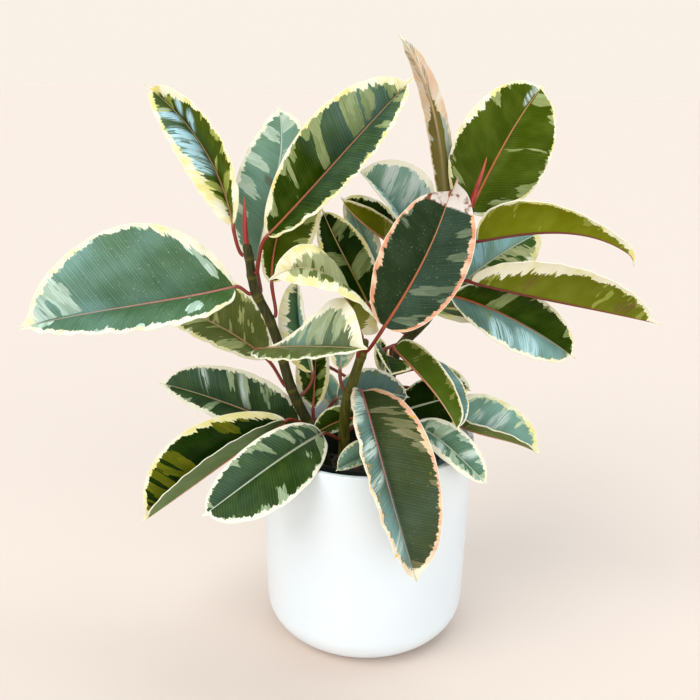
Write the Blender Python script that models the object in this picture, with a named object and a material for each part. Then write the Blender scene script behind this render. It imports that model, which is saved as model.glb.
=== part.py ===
"""A variegated rubber plant in a plain round planter.

Lengths in this file are millimetres and become metres where a mesh is made. +Z is up, -Y faces the
viewer, and the origin is the middle of the planter's base. A leaf is a stalk and a blade in one body.
"""

import math
from dataclasses import dataclass

import bmesh
import bpy
from mathutils import Vector

MM = 0.001
GAP = 0.3

# Driving dimensions of the planter
PLANTER_RADIUS = 110.0
PLANTER_HEIGHT = 218.0
PLANTER_BASE_RADIUS = 106.0
PLANTER_BASE_ROUNDING = 33.0
PLANTER_WALL = 6.0
PLANTER_FLOOR = 10.0
PLANTER_LIP_ROUNDING = 2.0
PLANTER_SIDES = 48

# Driving dimensions of the inner pot that the plant grows in
INNER_POT_RADIUS = 77.0
INNER_POT_FOOT_RADIUS = 58.0
INNER_POT_HEIGHT = 198.0
INNER_POT_WALL = 1.6
INNER_POT_LIP = 3.5
INNER_POT_LIP_HEIGHT = 12.0
INNER_POT_BEVEL = 3.0
INNER_POT_SIDES = 40
INNER_POT_STANDS_AT = PLANTER_FLOOR + GAP

SOIL_TOP = 166.0
SOIL_MOUND = 2.0
SOIL_EDGE = 4.0
SOIL_CLEARANCE = 0.8
SOIL_SIDES = 32

# Driving dimensions of the canes
CANE_FOOT_RADIUS = 6.0
CANE_TOP_RADIUS = 4.6
CANE_SIDES = 10
CANE_STEPS_PER_SPAN = 2
HOLE_CLEARANCE = 0.4

# Driving dimensions of the leaves
STALK_RADIUS = 2.2
STALK_SECTIONS = 4
STALK_FIRST_HANDLE = 0.2
STALK_LAST_HANDLE = 0.4
STALK_LONGEST_HANDLE = 5.0
STALK_ANGLES = (162, 126, 90, 54, 18, -18, -54, -90, -126, -162)
BLADE_EDGE_THICKNESS = 0.8
BLADE_MIDRIB_THICKNESS = 1.5
BLADE_END = 0.955
DRIP_TIP_START = 0.88
DRIP_TIP_WIDTH = 0.13
TIP_SIZE = 0.35
TIP_SHARE = 0.999
WIDEST = 0.48
ACROSS = (-1.0, -0.5, 0.0, 0.5, 1.0)

# Where the first and last blade sections lie, as shares of a step between sections
FIRST_SECTION = 0.55
LAST_SECTION = 0.45

# Columns of a blade's mesh that are split the other way, so both faces are split alike
MIRRORED_COLUMNS = (2, 3, 7, 8)

# Fullness and skew of a half blade's outline
ROUND = (0.52, 0.94)

TONES = {
    "green": (0.055, 0.105, 0.040),
    "olive": (0.160, 0.170, 0.035),
    "grey": (0.200, 0.280, 0.230),
    "cream": (0.560, 0.560, 0.250),
}


@dataclass
class Leaf:
    """A leaf: where its stalk leaves the cane, its midrib, and each half's reach where it is widest."""

    name: str
    cane: str
    node: float
    tone: str
    spine: list
    left: tuple
    right: tuple
    left_shape: tuple = ROUND
    right_shape: tuple = ROUND
    bulge: float = 4.0
    twist: float = 0.0
    curl: float = 0.0
    curl_from: float = 0.9
    sections: int = 11


# Points that each cane grows through, from the foot in the soil to the top
CANES = {
    "cane_left": [(-30, -8, 140), (-44, -11, 190), (-62, -12, 231), (-79, -10, 267), (-89, -8, 306),
                  (-101, -6, 341), (-114, -6, 367), (-118, -5, 396), (-121, -4, 412)],
    "cane_middle": [(-26, -22, 140), (-24, -25, 193), (-24, -28, 235), (-22, -30, 262), (-17, -31, 280),
                    (-11, -32, 300), (-7, -33, 314), (-5, -34, 328)],
    "cane_right": [(16, 14, 140), (18, 15, 200), (20, 15, 245), (24, 15, 288), (33, 15, 308),
                   (47, 14, 323), (62, 13, 344), (82, 11, 388), (90, 9, 418), (94, 8, 450)],
}

# Red sheaths of the leaves that are still furled, each from a cane's top
SHEATHS = {
    "sheath_left": ("cane_left", [(-122, -4, 428), (-122, -4, 444), (-122, -5, 458)]),
    "sheath_right": ("cane_right", [(98, 8, 466), (103, 9, 482), (107, 10, 498)]),
}
SHEATH_FOOT_RADIUS = 3.2
SHEATH_TIP_RADIUS = 0.5

LEAVES = [
    Leaf("leaf_left_1", "cane_left", node=402, tone="green",
         spine=[(-134, -2, 430), (-152, 26, 474), (-184, 52, 517), (-229, 74, 554)],
         left=(-21, -24, -6), right=(17, -26, 20), left_shape=(0.5, 0.95), right_shape=(0.5, 0.75)),
    Leaf("leaf_left_2", "cane_left", node=384, tone="green",
         spine=[(-99, -14, 423), (-60, -14, 465), (-12, -16, 519), (34, -24, 569)],
         left=(-29, -5, 32), right=(20, -40, -6), left_shape=(0.48, 1.2), right_shape=(0.45, 1.15)),
    Leaf("leaf_left_3", "cane_left", node=366, tone="green",
         spine=[(-132, -14, 372), (-194, -28, 361), (-262, -46, 352), (-322, -68, 342)],
         left=(6, -45, -13), right=(-14, 5, 75), left_shape=(0.48, 0.72), right_shape=(0.62, 0.88)),
    Leaf("leaf_left_4", "cane_left", node=269, tone="green",
         spine=[(-105, 4, 293), (-142, 24, 312), (-184, 46, 325), (-238, 74, 332)],
         left=(-9, -30, -8), right=(22, 10, 42)),
    Leaf("leaf_left_5", "cane_left", node=362, tone="grey",
         spine=[(-113, 12, 391), (-105, 32, 434), (-94, 54, 486), (-98, 74, 539)],
         left=(-39, -4, 2), right=(39, -2, -2)),
    Leaf("leaf_left_6", "cane_left", node=338, tone="green",
         spine=[(-98, 2, 373), (-94, 4, 411), (-79, 8, 450), (-50, 14, 487)],
         left=(-14, -10, 4), right=(34, -6, -8)),
    Leaf("leaf_middle_1", "cane_middle", node=312, tone="cream",
         spine=[(-8, -43, 336), (-20, -58, 372), (-48, -82, 406), (-87, -112, 403)],
         left=(12, -31, -4), right=(-4, 24, 14), left_shape=(0.6, 0.7), bulge=6, twist=-70),
    Leaf("leaf_middle_2", "cane_left", node=300, tone="green",
         spine=[(-110, -26, 313), (-66, -58, 327), (-31, -90, 338), (-2, -125, 349)],
         left=(12, 6, 45), right=(-24, -33, -2), left_shape=(0.9, 2.2)),
    Leaf("leaf_middle_3", "cane_left", node=256, tone="green",
         spine=[(-58, 2, 280), (-67, 12, 311), (-73, 20, 345), (-76, 30, 372)],
         left=(-23, -8, 0), right=(8, -26, 2)),
    Leaf("leaf_middle_4", "cane_left", node=227, tone="green",
         spine=[(-57, -2, 242), (-56, 6, 264), (-55, 16, 294), (-54, 26, 318)],
         left=(-20, -4, 2), right=(15, -6, 2), sections=7),
    Leaf("leaf_middle_5", "cane_middle", node=271, tone="grey",
         spine=[(-29, -20, 292), (-27, -12, 314), (-24, -2, 342), (-22, 8, 365)],
         left=(-15, -4, 0), right=(16, -4, 2), sections=7),
    Leaf("leaf_middle_6", "cane_middle", node=318, tone="green",
         spine=[(13, -64, 350), (36, -54, 388), (57, -40, 430), (72, -26, 476)],
         left=(-35, -8, 23), right=(38, -8, -14), left_shape=(0.42, 1.03), right_shape=(0.38, 1.05),
         curl=75, curl_from=0.86),
    Leaf("leaf_right_1", "cane_right", node=425, tone="olive",
         spine=[(73, 16, 434), (65, 18, 493), (50, 16, 553), (20, 10, 605)],
         left=(14, 34, 0), right=(-8, 36, 0)),
    Leaf("leaf_right_2", "cane_right", node=430, tone="green",
         spine=[(95, 26, 442), (114, 42, 479), (142, 62, 528), (170, 86, 563)],
         left=(-41, -7, 25), right=(43, -7, -22), left_shape=(0.5, 0.86), right_shape=(0.48, 0.95)),
    Leaf("leaf_right_3", "cane_right", node=404, tone="olive",
         spine=[(102, 2, 419), (148, -6, 429), (200, -12, 430), (254, -20, 406)],
         left=(0, 36, 6), right=(0, -13, 34), left_shape=(0.7, 0.7), right_shape=(1.15, 0.5),
         curl=-70, curl_from=0.92),
    Leaf("leaf_right_4", "cane_right", node=380, tone="olive",
         spine=[(97, -8, 381), (153, -18, 371), (220, -26, 360), (276, -34, 350)],
         left=(0, 34, 14), right=(4, -12, 38)),
    Leaf("leaf_right_5", "cane_right", node=366, tone="green",
         spine=[(80, 4, 363), (124, 6, 348), (170, 4, 325), (207, -4, 303)],
         left=(16, -2, 28), right=(-13, -34, -17), left_shape=(0.45, 1.1), right_shape=(0.45, 1.08)),
    Leaf("leaf_right_6", "cane_right", node=370, tone="grey",
         spine=[(86, 20, 366), (110, 36, 383), (141, 56, 400), (181, 86, 414)],
         left=(-16, 10, 30), right=(16, -12, -26)),
    Leaf("leaf_right_7", "cane_right", node=341, tone="olive",
         spine=[(58, 24, 342), (84, 42, 340), (112, 62, 336), (140, 86, 330)],
         left=(-20, 26, 0), right=(22, -32, -8)),
    Leaf("leaf_back_1", "cane_right", node=384, tone="grey",
         spine=[(44, 16, 416), (26, 12, 436), (6, 5, 463), (-15, -2, 485)],
         left=(-4, -26, 6), right=(35, 4, 31)),
    Leaf("leaf_back_2", "cane_right", node=362, tone="green",
         spine=[(34, 24, 399), (14, 18, 415), (-10, 9, 434), (-30, -4, 459)],
         left=(6, -12, 20), right=(6, 16, 26)),
    Leaf("leaf_back_3", "cane_right", node=336, tone="grey",
         spine=[(6, 32, 384), (-8, 28, 413), (-18, 24, 435), (-29, 18, 455)],
         left=(-12, -3, -4), right=(13, -3, 8), sections=7),
    Leaf("leaf_back_4", "cane_right", node=316, tone="green",
         spine=[(-3, 2, 354), (-19, 8, 384), (-37, 14, 417), (-50, 20, 444)],
         left=(-19, -8, -8), right=(25, -8, 10)),
    Leaf("leaf_low_right_1", "cane_right", node=285, tone="olive",
         spine=[(25, -8, 311), (47, -40, 298), (68, -73, 282), (84, -100, 262)],
         left=(36, 8, -3), right=(10, 2, 21), right_shape=(0.35, 0.8)),
    Leaf("leaf_low_right_2", "cane_right", node=262, tone="green",
         spine=[(69, 4, 251), (104, -6, 224), (142, -18, 218), (174, -30, 209)],
         left=(10, 26, 32), right=(2, -26, 18)),
    Leaf("leaf_low_right_3", "cane_right", node=276, tone="green",
         spine=[(57, 26, 278), (73, 16, 277), (89, 4, 272), (103, -10, 268)],
         left=(2, 10, 8), right=(-2, -12, -10), sections=7),
    Leaf("leaf_low_right_4", "cane_right", node=215, tone="green",
         spine=[(46, -44, 243), (70, -64, 237), (92, -80, 223), (115, -88, 203)],
         left=(14, 4, 15), right=(-8, -16, -4)),
    Leaf("leaf_low_right_5", "cane_right", node=232, tone="green",
         spine=[(32, -14, 245), (50, -24, 256), (74, -34, 268), (94, -42, 278)],
         left=(-4, 10, 22), right=(6, -14, -30)),
    Leaf("leaf_low_right_6", "cane_left", node=214, tone="green",
         spine=[(-32, 10, 249), (-7, 2, 260), (17, -10, 264), (41, -22, 264)],
         left=(2, 4, 24), right=(0, -10, -20)),
    Leaf("leaf_low_right_7", "cane_right", node=306, tone="green",
         spine=[(13, 2, 303), (16, -14, 302), (19, -32, 300), (22, -52, 299)],
         left=(28, -24, -4), right=(-14, 0, 20), left_shape=(0.9, 1.6), sections=7),
    Leaf("leaf_low_right_8", "cane_right", node=258, tone="green",
         spine=[(14, 28, 272), (13, 36, 283), (12, 44, 293), (11, 52, 303)],
         left=(-8, 0, 0), right=(8, 0, 0), sections=7),
    Leaf("leaf_low_left_1", "cane_left", node=214, tone="green",
         spine=[(-72, -2, 217), (-121, 4, 233), (-170, 10, 248), (-219, 18, 258)],
         left=(8, -24, -12), right=(-2, 6, 42), left_shape=(0.5, 1.05), right_shape=(0.48, 0.85)),
    Leaf("leaf_low_left_2", "cane_left", node=234, tone="green",
         spine=[(-83, -24, 237), (-118, -34, 215), (-163, -48, 184), (-222, -66, 143)],
         left=(-6, -34, 24), right=(-30, 9, 37), right_shape=(0.5, 1.2)),
    Leaf("leaf_low_left_3", "cane_middle", node=222, tone="green",
         spine=[(-45, -50, 235), (-72, -84, 231), (-112, -114, 211), (-149, -132, 187)],
         left=(22, -29, -19), right=(-16, 4, 23), left_shape=(0.5, 1.16), right_shape=(0.5, 0.95)),
    Leaf("leaf_low_left_4", "cane_left", node=210, tone="green",
         spine=[(-64, -28, 222), (-76, -35, 224), (-88, -43, 224), (-100, -50, 222)],
         left=(4, -6, -3), right=(-4, 4, 7), sections=7),
    Leaf("leaf_front_1", "cane_middle", node=275, tone="green",
         spine=[(-7, -46, 279), (5, -92, 257), (21, -128, 214), (48, -142, 131)],
         left=(48, -6, 8), right=(-15, -27, 7), right_shape=(0.5, 0.82)),
    Leaf("leaf_inner_1", "cane_middle", node=205, tone="green",
         spine=[(11, -62, 224), (-3, -72, 222), (-16, -82, 220), (-29, -92, 216)],
         left=(2, -6, -4), right=(2, 8, 18), sections=7),
    Leaf("leaf_inner_2", "cane_middle", node=226, tone="olive",
         spine=[(-10, -10, 236), (-27, -14, 234), (-41, -18, 229), (-55, -24, 222)],
         left=(0, -8, -8), right=(0, 8, 16), sections=7),
    Leaf("leaf_inner_3", "cane_right", node=244, tone="grey",
         spine=[(-53, 38, 268), (-47, 32, 257), (-40, 24, 245), (-34, 18, 234)],
         left=(14, -4, 3), right=(-10, -4, 0), sections=7),
]


def clear_scene():
    for existing in list(bpy.data.objects):
        bpy.data.objects.remove(existing, do_unlink=True)


def finish(name, colour, roughness):
    material = bpy.data.materials.new(name)
    material.use_nodes = True
    shader = material.node_tree.nodes["Principled BSDF"]
    shader.inputs["Base Color"].default_value = (*colour, 1.0)
    shader.inputs["Roughness"].default_value = roughness
    shader.inputs["Metallic"].default_value = 0.0
    return material


def add_object(name, mesh_data, colour, roughness):
    mesh = bpy.data.meshes.new(name)
    mesh_data.to_mesh(mesh)
    mesh_data.free()
    mesh.materials.append(finish(f"{name}_finish", colour, roughness))
    new_object = bpy.data.objects.new(name, mesh)
    bpy.context.scene.collection.objects.link(new_object)
    mesh.shade_smooth()
    mesh.set_sharp_from_angle(angle=math.radians(40))
    return new_object


def arc(centre_radius, centre_height, radius, start, end, steps):
    """Profile points on a round stretch, with angles in degrees from the +radius direction."""
    points = []
    for step in range(steps + 1):
        angle = math.radians(start + (end - start) * step / steps)
        points.append((centre_radius + radius * math.cos(angle), centre_height + radius * math.sin(angle)))
    return points


def turned(name, profile, sides, colour, roughness):
    """A closed body of revolution, from a profile that starts and ends on the axis."""
    data = bmesh.new()
    corners = [data.verts.new((radius * MM, 0.0, height * MM)) for radius, height in profile]
    edges = [data.edges.new(pair) for pair in zip(corners, corners[1:])]
    bmesh.ops.spin(data, geom=corners + edges, cent=(0, 0, 0), axis=(0, 0, 1),
                   angle=2 * math.pi, steps=sides, use_merge=True)
    bmesh.ops.remove_doubles(data, verts=data.verts, dist=0.00001)
    bmesh.ops.recalc_face_normals(data, faces=data.faces)
    return add_object(name, data, colour, roughness)


def planter():
    lip = PLANTER_LIP_ROUNDING
    inside = PLANTER_RADIUS - PLANTER_WALL
    inner_rounding = PLANTER_BASE_ROUNDING - PLANTER_WALL
    inner_base = PLANTER_BASE_RADIUS - PLANTER_WALL
    profile = [(0.0, 0.0)]
    profile += arc(PLANTER_BASE_RADIUS - PLANTER_BASE_ROUNDING, PLANTER_BASE_ROUNDING,
                   PLANTER_BASE_ROUNDING, -90, 0, 6)
    profile += arc(PLANTER_RADIUS - lip, PLANTER_HEIGHT - lip, lip, 0, 90, 2)
    profile += arc(inside + lip, PLANTER_HEIGHT - lip, lip, 90, 180, 2)
    profile += arc(inner_base - inner_rounding, PLANTER_FLOOR + inner_rounding, inner_rounding, 0, -90, 4)
    profile.append((0.0, PLANTER_FLOOR))
    return turned("planter", profile, PLANTER_SIDES, (0.80, 0.83, 0.88), 0.35)


def inner_pot_radius(height):
    """Outer radius of the inner pot's tapered side at a height over the floor."""
    share = (height - INNER_POT_STANDS_AT) / INNER_POT_HEIGHT
    return INNER_POT_FOOT_RADIUS + (INNER_POT_RADIUS - INNER_POT_LIP - INNER_POT_FOOT_RADIUS) * share


def inner_pot():
    foot = INNER_POT_STANDS_AT
    top = foot + INNER_POT_HEIGHT
    lip_foot = top - INNER_POT_LIP_HEIGHT
    neck = lip_foot - INNER_POT_BEVEL
    wall = INNER_POT_WALL
    profile = [
        (0.0, foot),
        (INNER_POT_FOOT_RADIUS - INNER_POT_BEVEL, foot),
        (INNER_POT_FOOT_RADIUS, foot + INNER_POT_BEVEL),
        (inner_pot_radius(neck), neck),
        (INNER_POT_RADIUS, lip_foot),
        (INNER_POT_RADIUS, top - wall / 2),
        (INNER_POT_RADIUS - wall / 2, top),
        (INNER_POT_RADIUS - wall, top),
        (INNER_POT_RADIUS - wall, lip_foot),
        (inner_pot_radius(neck) - wall, neck),
        (INNER_POT_FOOT_RADIUS - wall, foot + wall + INNER_POT_BEVEL),
        (INNER_POT_FOOT_RADIUS - wall - INNER_POT_BEVEL, foot + wall),
        (0.0, foot + wall),
    ]
    return turned("inner_pot", profile, INNER_POT_SIDES, (0.016, 0.020, 0.014), 0.5)


def soil():
    """Potting soil that fills the inner pot, mounded in the middle, with a plain hole for each cane."""
    foot = INNER_POT_STANDS_AT + INNER_POT_WALL + GAP
    side = INNER_POT_WALL + SOIL_CLEARANCE
    shoulder = SOIL_TOP - SOIL_EDGE
    profile = [
        (0.0, foot),
        (INNER_POT_FOOT_RADIUS - side - INNER_POT_BEVEL, foot),
        (INNER_POT_FOOT_RADIUS - side, foot + INNER_POT_BEVEL),
        (inner_pot_radius(shoulder) - side, shoulder),
        (inner_pot_radius(shoulder) - side - 3 * SOIL_EDGE, SOIL_TOP),
        (0.0, SOIL_TOP + SOIL_MOUND),
    ]
    body = turned("soil", profile, SOIL_SIDES, (0.018, 0.013, 0.009), 0.95)
    for name in CANES:
        cutter = cane(f"{name}_hole", name, HOLE_CLEARANCE)
        cutter.hide_render = True
        cutter.display_type = "WIRE"
        cut = body.modifiers.new(f"{name}_hole", "BOOLEAN")
        cut.operation = "DIFFERENCE"
        cut.solver = "EXACT"
        cut.object = cutter
    return body


def loft(rings, mirrored=()):
    """A closed body through rings of equal length; the mirrored columns are split the other way."""
    data = bmesh.new()
    loops = [[data.verts.new(point * MM) for point in ring] for ring in rings]
    count = len(rings[0])
    for lower, upper in zip(loops, loops[1:]):
        for column in range(count):
            after = (column + 1) % count
            a, b, c, d = lower[column], lower[after], upper[after], upper[column]
            if column in mirrored:
                data.faces.new((a, b, d))
                data.faces.new((b, c, d))
            else:
                data.faces.new((a, c, d))
                data.faces.new((a, b, c))
    data.faces.new(reversed(loops[0]))
    data.faces.new(loops[-1])
    return data


def ring_around(centre, side, normal, radius, angles):
    """Points around a centre in the plane of side and normal, at angles in degrees from side."""
    points = []
    for angle in angles:
        turn = math.radians(angle)
        points.append(centre + radius * (math.cos(turn) * side + math.sin(turn) * normal))
    return points


def smooth_route(points):
    """Points on a smooth curve through the given ones, with the first and last kept."""
    route = [Vector(point) for point in points]
    padded = [2 * route[0] - route[1], *route, 2 * route[-1] - route[-2]]
    result = []
    for before, start, end, after in zip(padded, padded[1:], padded[2:], padded[3:]):
        for step in range(CANE_STEPS_PER_SPAN):
            t = step / CANE_STEPS_PER_SPAN
            result.append(0.5 * (2 * start + (end - before) * t
                                 + (2 * before - 5 * start + 4 * end - after) * t ** 2
                                 + (3 * start - before - 3 * end + after) * t ** 3))
    result.append(route[-1])
    return result


def direction(route, index):
    ahead = route[min(index + 1, len(route) - 1)]
    behind = route[max(index - 1, 0)]
    return (ahead - behind).normalized()


def cane_radius(share):
    return CANE_FOOT_RADIUS + (CANE_TOP_RADIUS - CANE_FOOT_RADIUS) * share


def cane(object_name, name, clearance=0.0):
    """A tapered cane along its route; with a clearance it is the cutter of the cane's hole in the soil."""
    route = smooth_route(CANES[name])
    if clearance:
        route[0] = route[0] - direction(route, 0) * clearance
    rings = []
    for index, point in enumerate(route):
        along = direction(route, index)
        side = along.cross(Vector((0, 1, 0))).normalized()
        radius = cane_radius(index / (len(route) - 1)) + clearance
        angles = [360 * corner / CANE_SIDES for corner in range(CANE_SIDES)]
        rings.append(ring_around(point, side, along.cross(side), radius, angles))
    return add_object(object_name, loft(rings), (0.050, 0.048, 0.016), 0.6)


def sheath(name):
    cane_name, points = SHEATHS[name]
    route = smooth_route(CANES[cane_name])
    along = direction(route, len(route) - 1)
    path = [route[-1] + along * GAP, *(Vector(point) for point in points)]
    rings = []
    for index, point in enumerate(path):
        heading = along if index == 0 else direction(path, index)
        side = heading.cross(Vector((0, 1, 0))).normalized()
        share = index / (len(path) - 1)
        radius = SHEATH_FOOT_RADIUS + (SHEATH_TIP_RADIUS - SHEATH_FOOT_RADIUS) * share ** 0.8
        angles = [45 * corner for corner in range(8)]
        rings.append(ring_around(point, side, heading.cross(side), radius, angles))
    return add_object(name, loft(rings), (0.52, 0.05, 0.05), 0.4)


def on_cane(name, height):
    """The cane's centre, direction and radius at a height."""
    route = smooth_route(CANES[name])
    for index, (start, end) in enumerate(zip(route, route[1:])):
        if start.z <= height <= end.z:
            share = (height - start.z) / (end.z - start.z)
            radius = cane_radius((index + share) / (len(route) - 1))
            return start.lerp(end, share), (end - start).normalized(), radius
    raise ValueError(f"{name} doesn't reach {height}")


def along_spine(spine, share):
    """The point at a share of the midrib, on the cubic through its four points."""
    points = [Vector(point) for point in spine]
    marks = [0.0]
    for start, end in zip(points, points[1:]):
        marks.append(marks[-1] + (end - start).length)
    marks = [mark / marks[-1] for mark in marks]
    place = Vector((0, 0, 0))
    for index, point in enumerate(points):
        weight = 1.0
        for other, mark in enumerate(marks):
            if other != index:
                weight *= (share - mark) / (marks[index] - mark)
        place += weight * point
    return place


def spine_direction(spine, share):
    ahead = along_spine(spine, min(1.0, share + 0.01))
    behind = along_spine(spine, max(0.0, share - 0.01))
    return (ahead - behind).normalized()


def half_width(share, fullness, skew):
    """Outline of a half blade as a share of its reach: a full oval that ends in a short drip tip."""
    body = max(0.0, math.sin(math.pi * min(1.0, share / BLADE_END) ** skew)) ** fullness
    tip = DRIP_TIP_WIDTH * (1 - share) / (1 - DRIP_TIP_START) * min(1.0, share / 0.9) ** 4
    return (body ** 3 + tip ** 3) ** (1 / 3)


def blade_halves(leaf):
    """The upper face's normal at the widest place, and each half as its sideways and upward reach."""
    along = spine_direction(leaf.spine, WIDEST)
    left = Vector(leaf.left)
    right = Vector(leaf.right)
    left -= left.dot(along) * along
    right -= right.dot(along) * along
    side = (right - left).normalized()
    normal = side.cross(along)
    return normal, (left.dot(side), left.dot(normal)), (right.dot(side), right.dot(normal))


def blade_frame(leaf, share, widest_normal):
    """Place, direction, normal and side of the midrib at a share of its length, with the tip's curl."""
    straight_share = min(share, leaf.curl_from) if leaf.curl else share
    place = along_spine(leaf.spine, straight_share)
    along = spine_direction(leaf.spine, straight_share)
    normal = (widest_normal - widest_normal.dot(along) * along).normalized()
    side = along.cross(normal)
    turn = math.radians(leaf.twist) * (straight_share - WIDEST)
    normal, side = (math.cos(turn) * normal + math.sin(turn) * side,
                    math.cos(turn) * side - math.sin(turn) * normal)
    if share > straight_share:
        rolled = (share - leaf.curl_from) / (1 - leaf.curl_from)
        angle = math.radians(leaf.curl) * rolled
        length = (Vector(leaf.spine[-1]) - place).length * rolled
        place = place + length / angle * (math.sin(angle) * along + (1 - math.cos(angle)) * normal)
        along, normal = (math.cos(angle) * along + math.sin(angle) * normal,
                         math.cos(angle) * normal - math.sin(angle) * along)
    return place, along, normal, side


def blade_section(leaf, share):
    """Points around the blade at a share of its length: the upper face left to right, the lower one back."""
    widest_normal, left, right = blade_halves(leaf)
    place, along, normal, side = blade_frame(leaf, share, widest_normal)
    widths = (half_width(share, *leaf.left_shape), half_width(share, *leaf.right_shape))
    upper = []
    lower = []
    for across in ACROSS:
        out = abs(across)
        width = widths[0] if across < 0 else widths[1]
        sideways, upward = left if across < 0 else right
        outward = (sideways * side + upward * normal).normalized()
        face = normal
        if across < 0:
            face = along.cross(outward).normalized()
        elif across > 0:
            face = outward.cross(along).normalized()
        reach = math.hypot(sideways, upward) * width * out
        point = place + reach * outward + leaf.bulge * 4 * out * (1 - out) * width ** 2 * face
        thickness = BLADE_EDGE_THICKNESS + (BLADE_MIDRIB_THICKNESS - BLADE_EDGE_THICKNESS) * (1 - out) ** 2
        upper.append(point)
        lower.append(point - thickness * face)
    return upper + lower[::-1]


def tip_section(leaf):
    widest_normal = blade_halves(leaf)[0]
    place, _, normal, side = blade_frame(leaf, TIP_SHARE, widest_normal)
    upper = [place + TIP_SIZE * (across * side + normal) for across in ACROSS]
    lower = [place + TIP_SIZE * (across * side - normal) for across in reversed(ACROSS)]
    return upper + lower


def stalk_rings(leaf):
    """Round rings from just off the cane's side to the foot of the blade."""
    centre, cane_along, radius = on_cane(leaf.cane, leaf.node)
    foot, along, normal, side = blade_frame(leaf, 0.0, blade_halves(leaf)[0])
    outward = foot - centre
    outward = (outward - outward.dot(cane_along) * cane_along).normalized()
    start = centre + outward * (radius + GAP)
    length = (foot - start).length
    first = outward * min(STALK_FIRST_HANDLE * length, STALK_LONGEST_HANDLE)
    last = along * STALK_LAST_HANDLE * length
    handles = (start, start + first, foot - last, foot)
    rings = []
    for index in range(STALK_SECTIONS):
        t = index / STALK_SECTIONS
        heading = outward if index == 0 else curve_heading(handles, t)
        up = (normal - normal.dot(heading) * heading).normalized()
        rings.append(ring_around(curve_point(handles, t), heading.cross(up), up, STALK_RADIUS, STALK_ANGLES))
    rings.append(ring_around(foot, side, normal, STALK_RADIUS, STALK_ANGLES))
    return rings


def curve_point(handles, t):
    a, b, c, d = handles
    return a * (1 - t) ** 3 + 3 * b * t * (1 - t) ** 2 + 3 * c * t ** 2 * (1 - t) + d * t ** 3


def curve_heading(handles, t):
    return (curve_point(handles, t + 0.02) - curve_point(handles, t - 0.02)).normalized()


def leaf_body(leaf):
    rings = stalk_rings(leaf)
    for index in range(leaf.sections - 1):
        step = (index + FIRST_SECTION) / (leaf.sections - LAST_SECTION)
        share = 0.5 - 0.5 * math.cos(math.pi * step)
        rings.append(blade_section(leaf, share))
    rings.append(tip_section(leaf))
    return add_object(leaf.name, loft(rings, MIRRORED_COLUMNS), TONES[leaf.tone], 0.4)


def build():
    clear_scene()
    planter()
    inner_pot()
    soil()
    for name in CANES:
        cane(name, name)
    for name in SHEATHS:
        sheath(name)
    for leaf in LEAVES:
        leaf_body(leaf)


build()
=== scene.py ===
import math
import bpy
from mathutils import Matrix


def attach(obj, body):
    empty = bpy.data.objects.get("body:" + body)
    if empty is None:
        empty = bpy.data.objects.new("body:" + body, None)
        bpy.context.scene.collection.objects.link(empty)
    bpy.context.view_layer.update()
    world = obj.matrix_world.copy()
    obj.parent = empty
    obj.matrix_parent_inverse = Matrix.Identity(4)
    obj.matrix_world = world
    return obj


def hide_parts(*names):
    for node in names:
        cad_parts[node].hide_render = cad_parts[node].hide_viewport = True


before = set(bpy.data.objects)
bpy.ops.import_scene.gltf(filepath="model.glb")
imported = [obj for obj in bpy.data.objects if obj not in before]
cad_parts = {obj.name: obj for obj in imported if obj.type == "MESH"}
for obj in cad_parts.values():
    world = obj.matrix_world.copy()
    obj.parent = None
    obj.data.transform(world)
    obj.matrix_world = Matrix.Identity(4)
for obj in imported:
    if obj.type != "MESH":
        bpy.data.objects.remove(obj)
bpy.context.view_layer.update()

from types import SimpleNamespace
import bpy
import numpy as np
from mathutils import Matrix, Vector

mm = 0.001
gap = 0.3  # between pieces that stand or grow on each other, in mm


# small helpers for the mesh work

def selectOnly(*pieces):  # the first one becomes the active one
    for thing in list(bpy.context.selected_objects):
        thing.select_set(False)
    for piece in pieces:
        piece.select_set(True)
    if pieces:
        bpy.context.view_layer.objects.active = pieces[0]


def meshPlaces(mesh):
    places = np.empty(len(mesh.vertices) * 3)
    mesh.vertices.foreach_get("co", places)
    return places.reshape(-1, 3)


def setMeshPlaces(mesh, places):
    mesh.vertices.foreach_set("co", np.asarray(places, float).ravel())
    mesh.update()


def setPointValues(mesh, name, values):  # one number or three at each point
    kind, part = ("FLOAT", "value") if values.ndim == 1 else ("FLOAT_VECTOR", "vector")
    layer = mesh.attributes.new(name, kind, "POINT")
    layer.data.foreach_set(part, values.astype(float).ravel())


def unit(vectors):
    length = np.linalg.norm(vectors, axis=-1, keepdims=True)
    return vectors / np.maximum(length, 1e-9)


def smoothStep(value, low, high):
    t = np.clip((value - low) / (high - low), 0, 1)
    return t * t * (3 - 2 * t)


def hump(values, middle, width):
    return np.exp(-((values - middle) / width) ** 2)


def joinPieces(pieces, name):
    selectOnly(*pieces)
    bpy.ops.object.join()
    pieces[0].name = name
    pieces[0].data.name = name
    return pieces[0]


def finishPiece(piece, node, slot, material=None, smoothTo=50):
    if material:
        piece.data.materials.append(material)
    if smoothTo:
        selectOnly(piece)
        bpy.ops.object.shade_smooth_by_angle(angle=math.radians(smoothTo))
    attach(piece, "root")
    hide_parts(node)


# small helpers for the materials

def addNode(tree, kind, values=None, **settings):  # the values are numbers, colours, fields or sockets
    node = tree.nodes.new(kind)
    for key, value in settings.items():
        setattr(node, key, value)
    for key, value in (values or {}).items():
        value = getattr(value, "socket", value)
        if isinstance(value, bpy.types.NodeSocket):
            tree.links.new(value, node.inputs[key])
        elif node.inputs[key].type == "RGBA":
            node.inputs[key].default_value = (*value, 1.0)
        else:
            node.inputs[key].default_value = value
    return node


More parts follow.
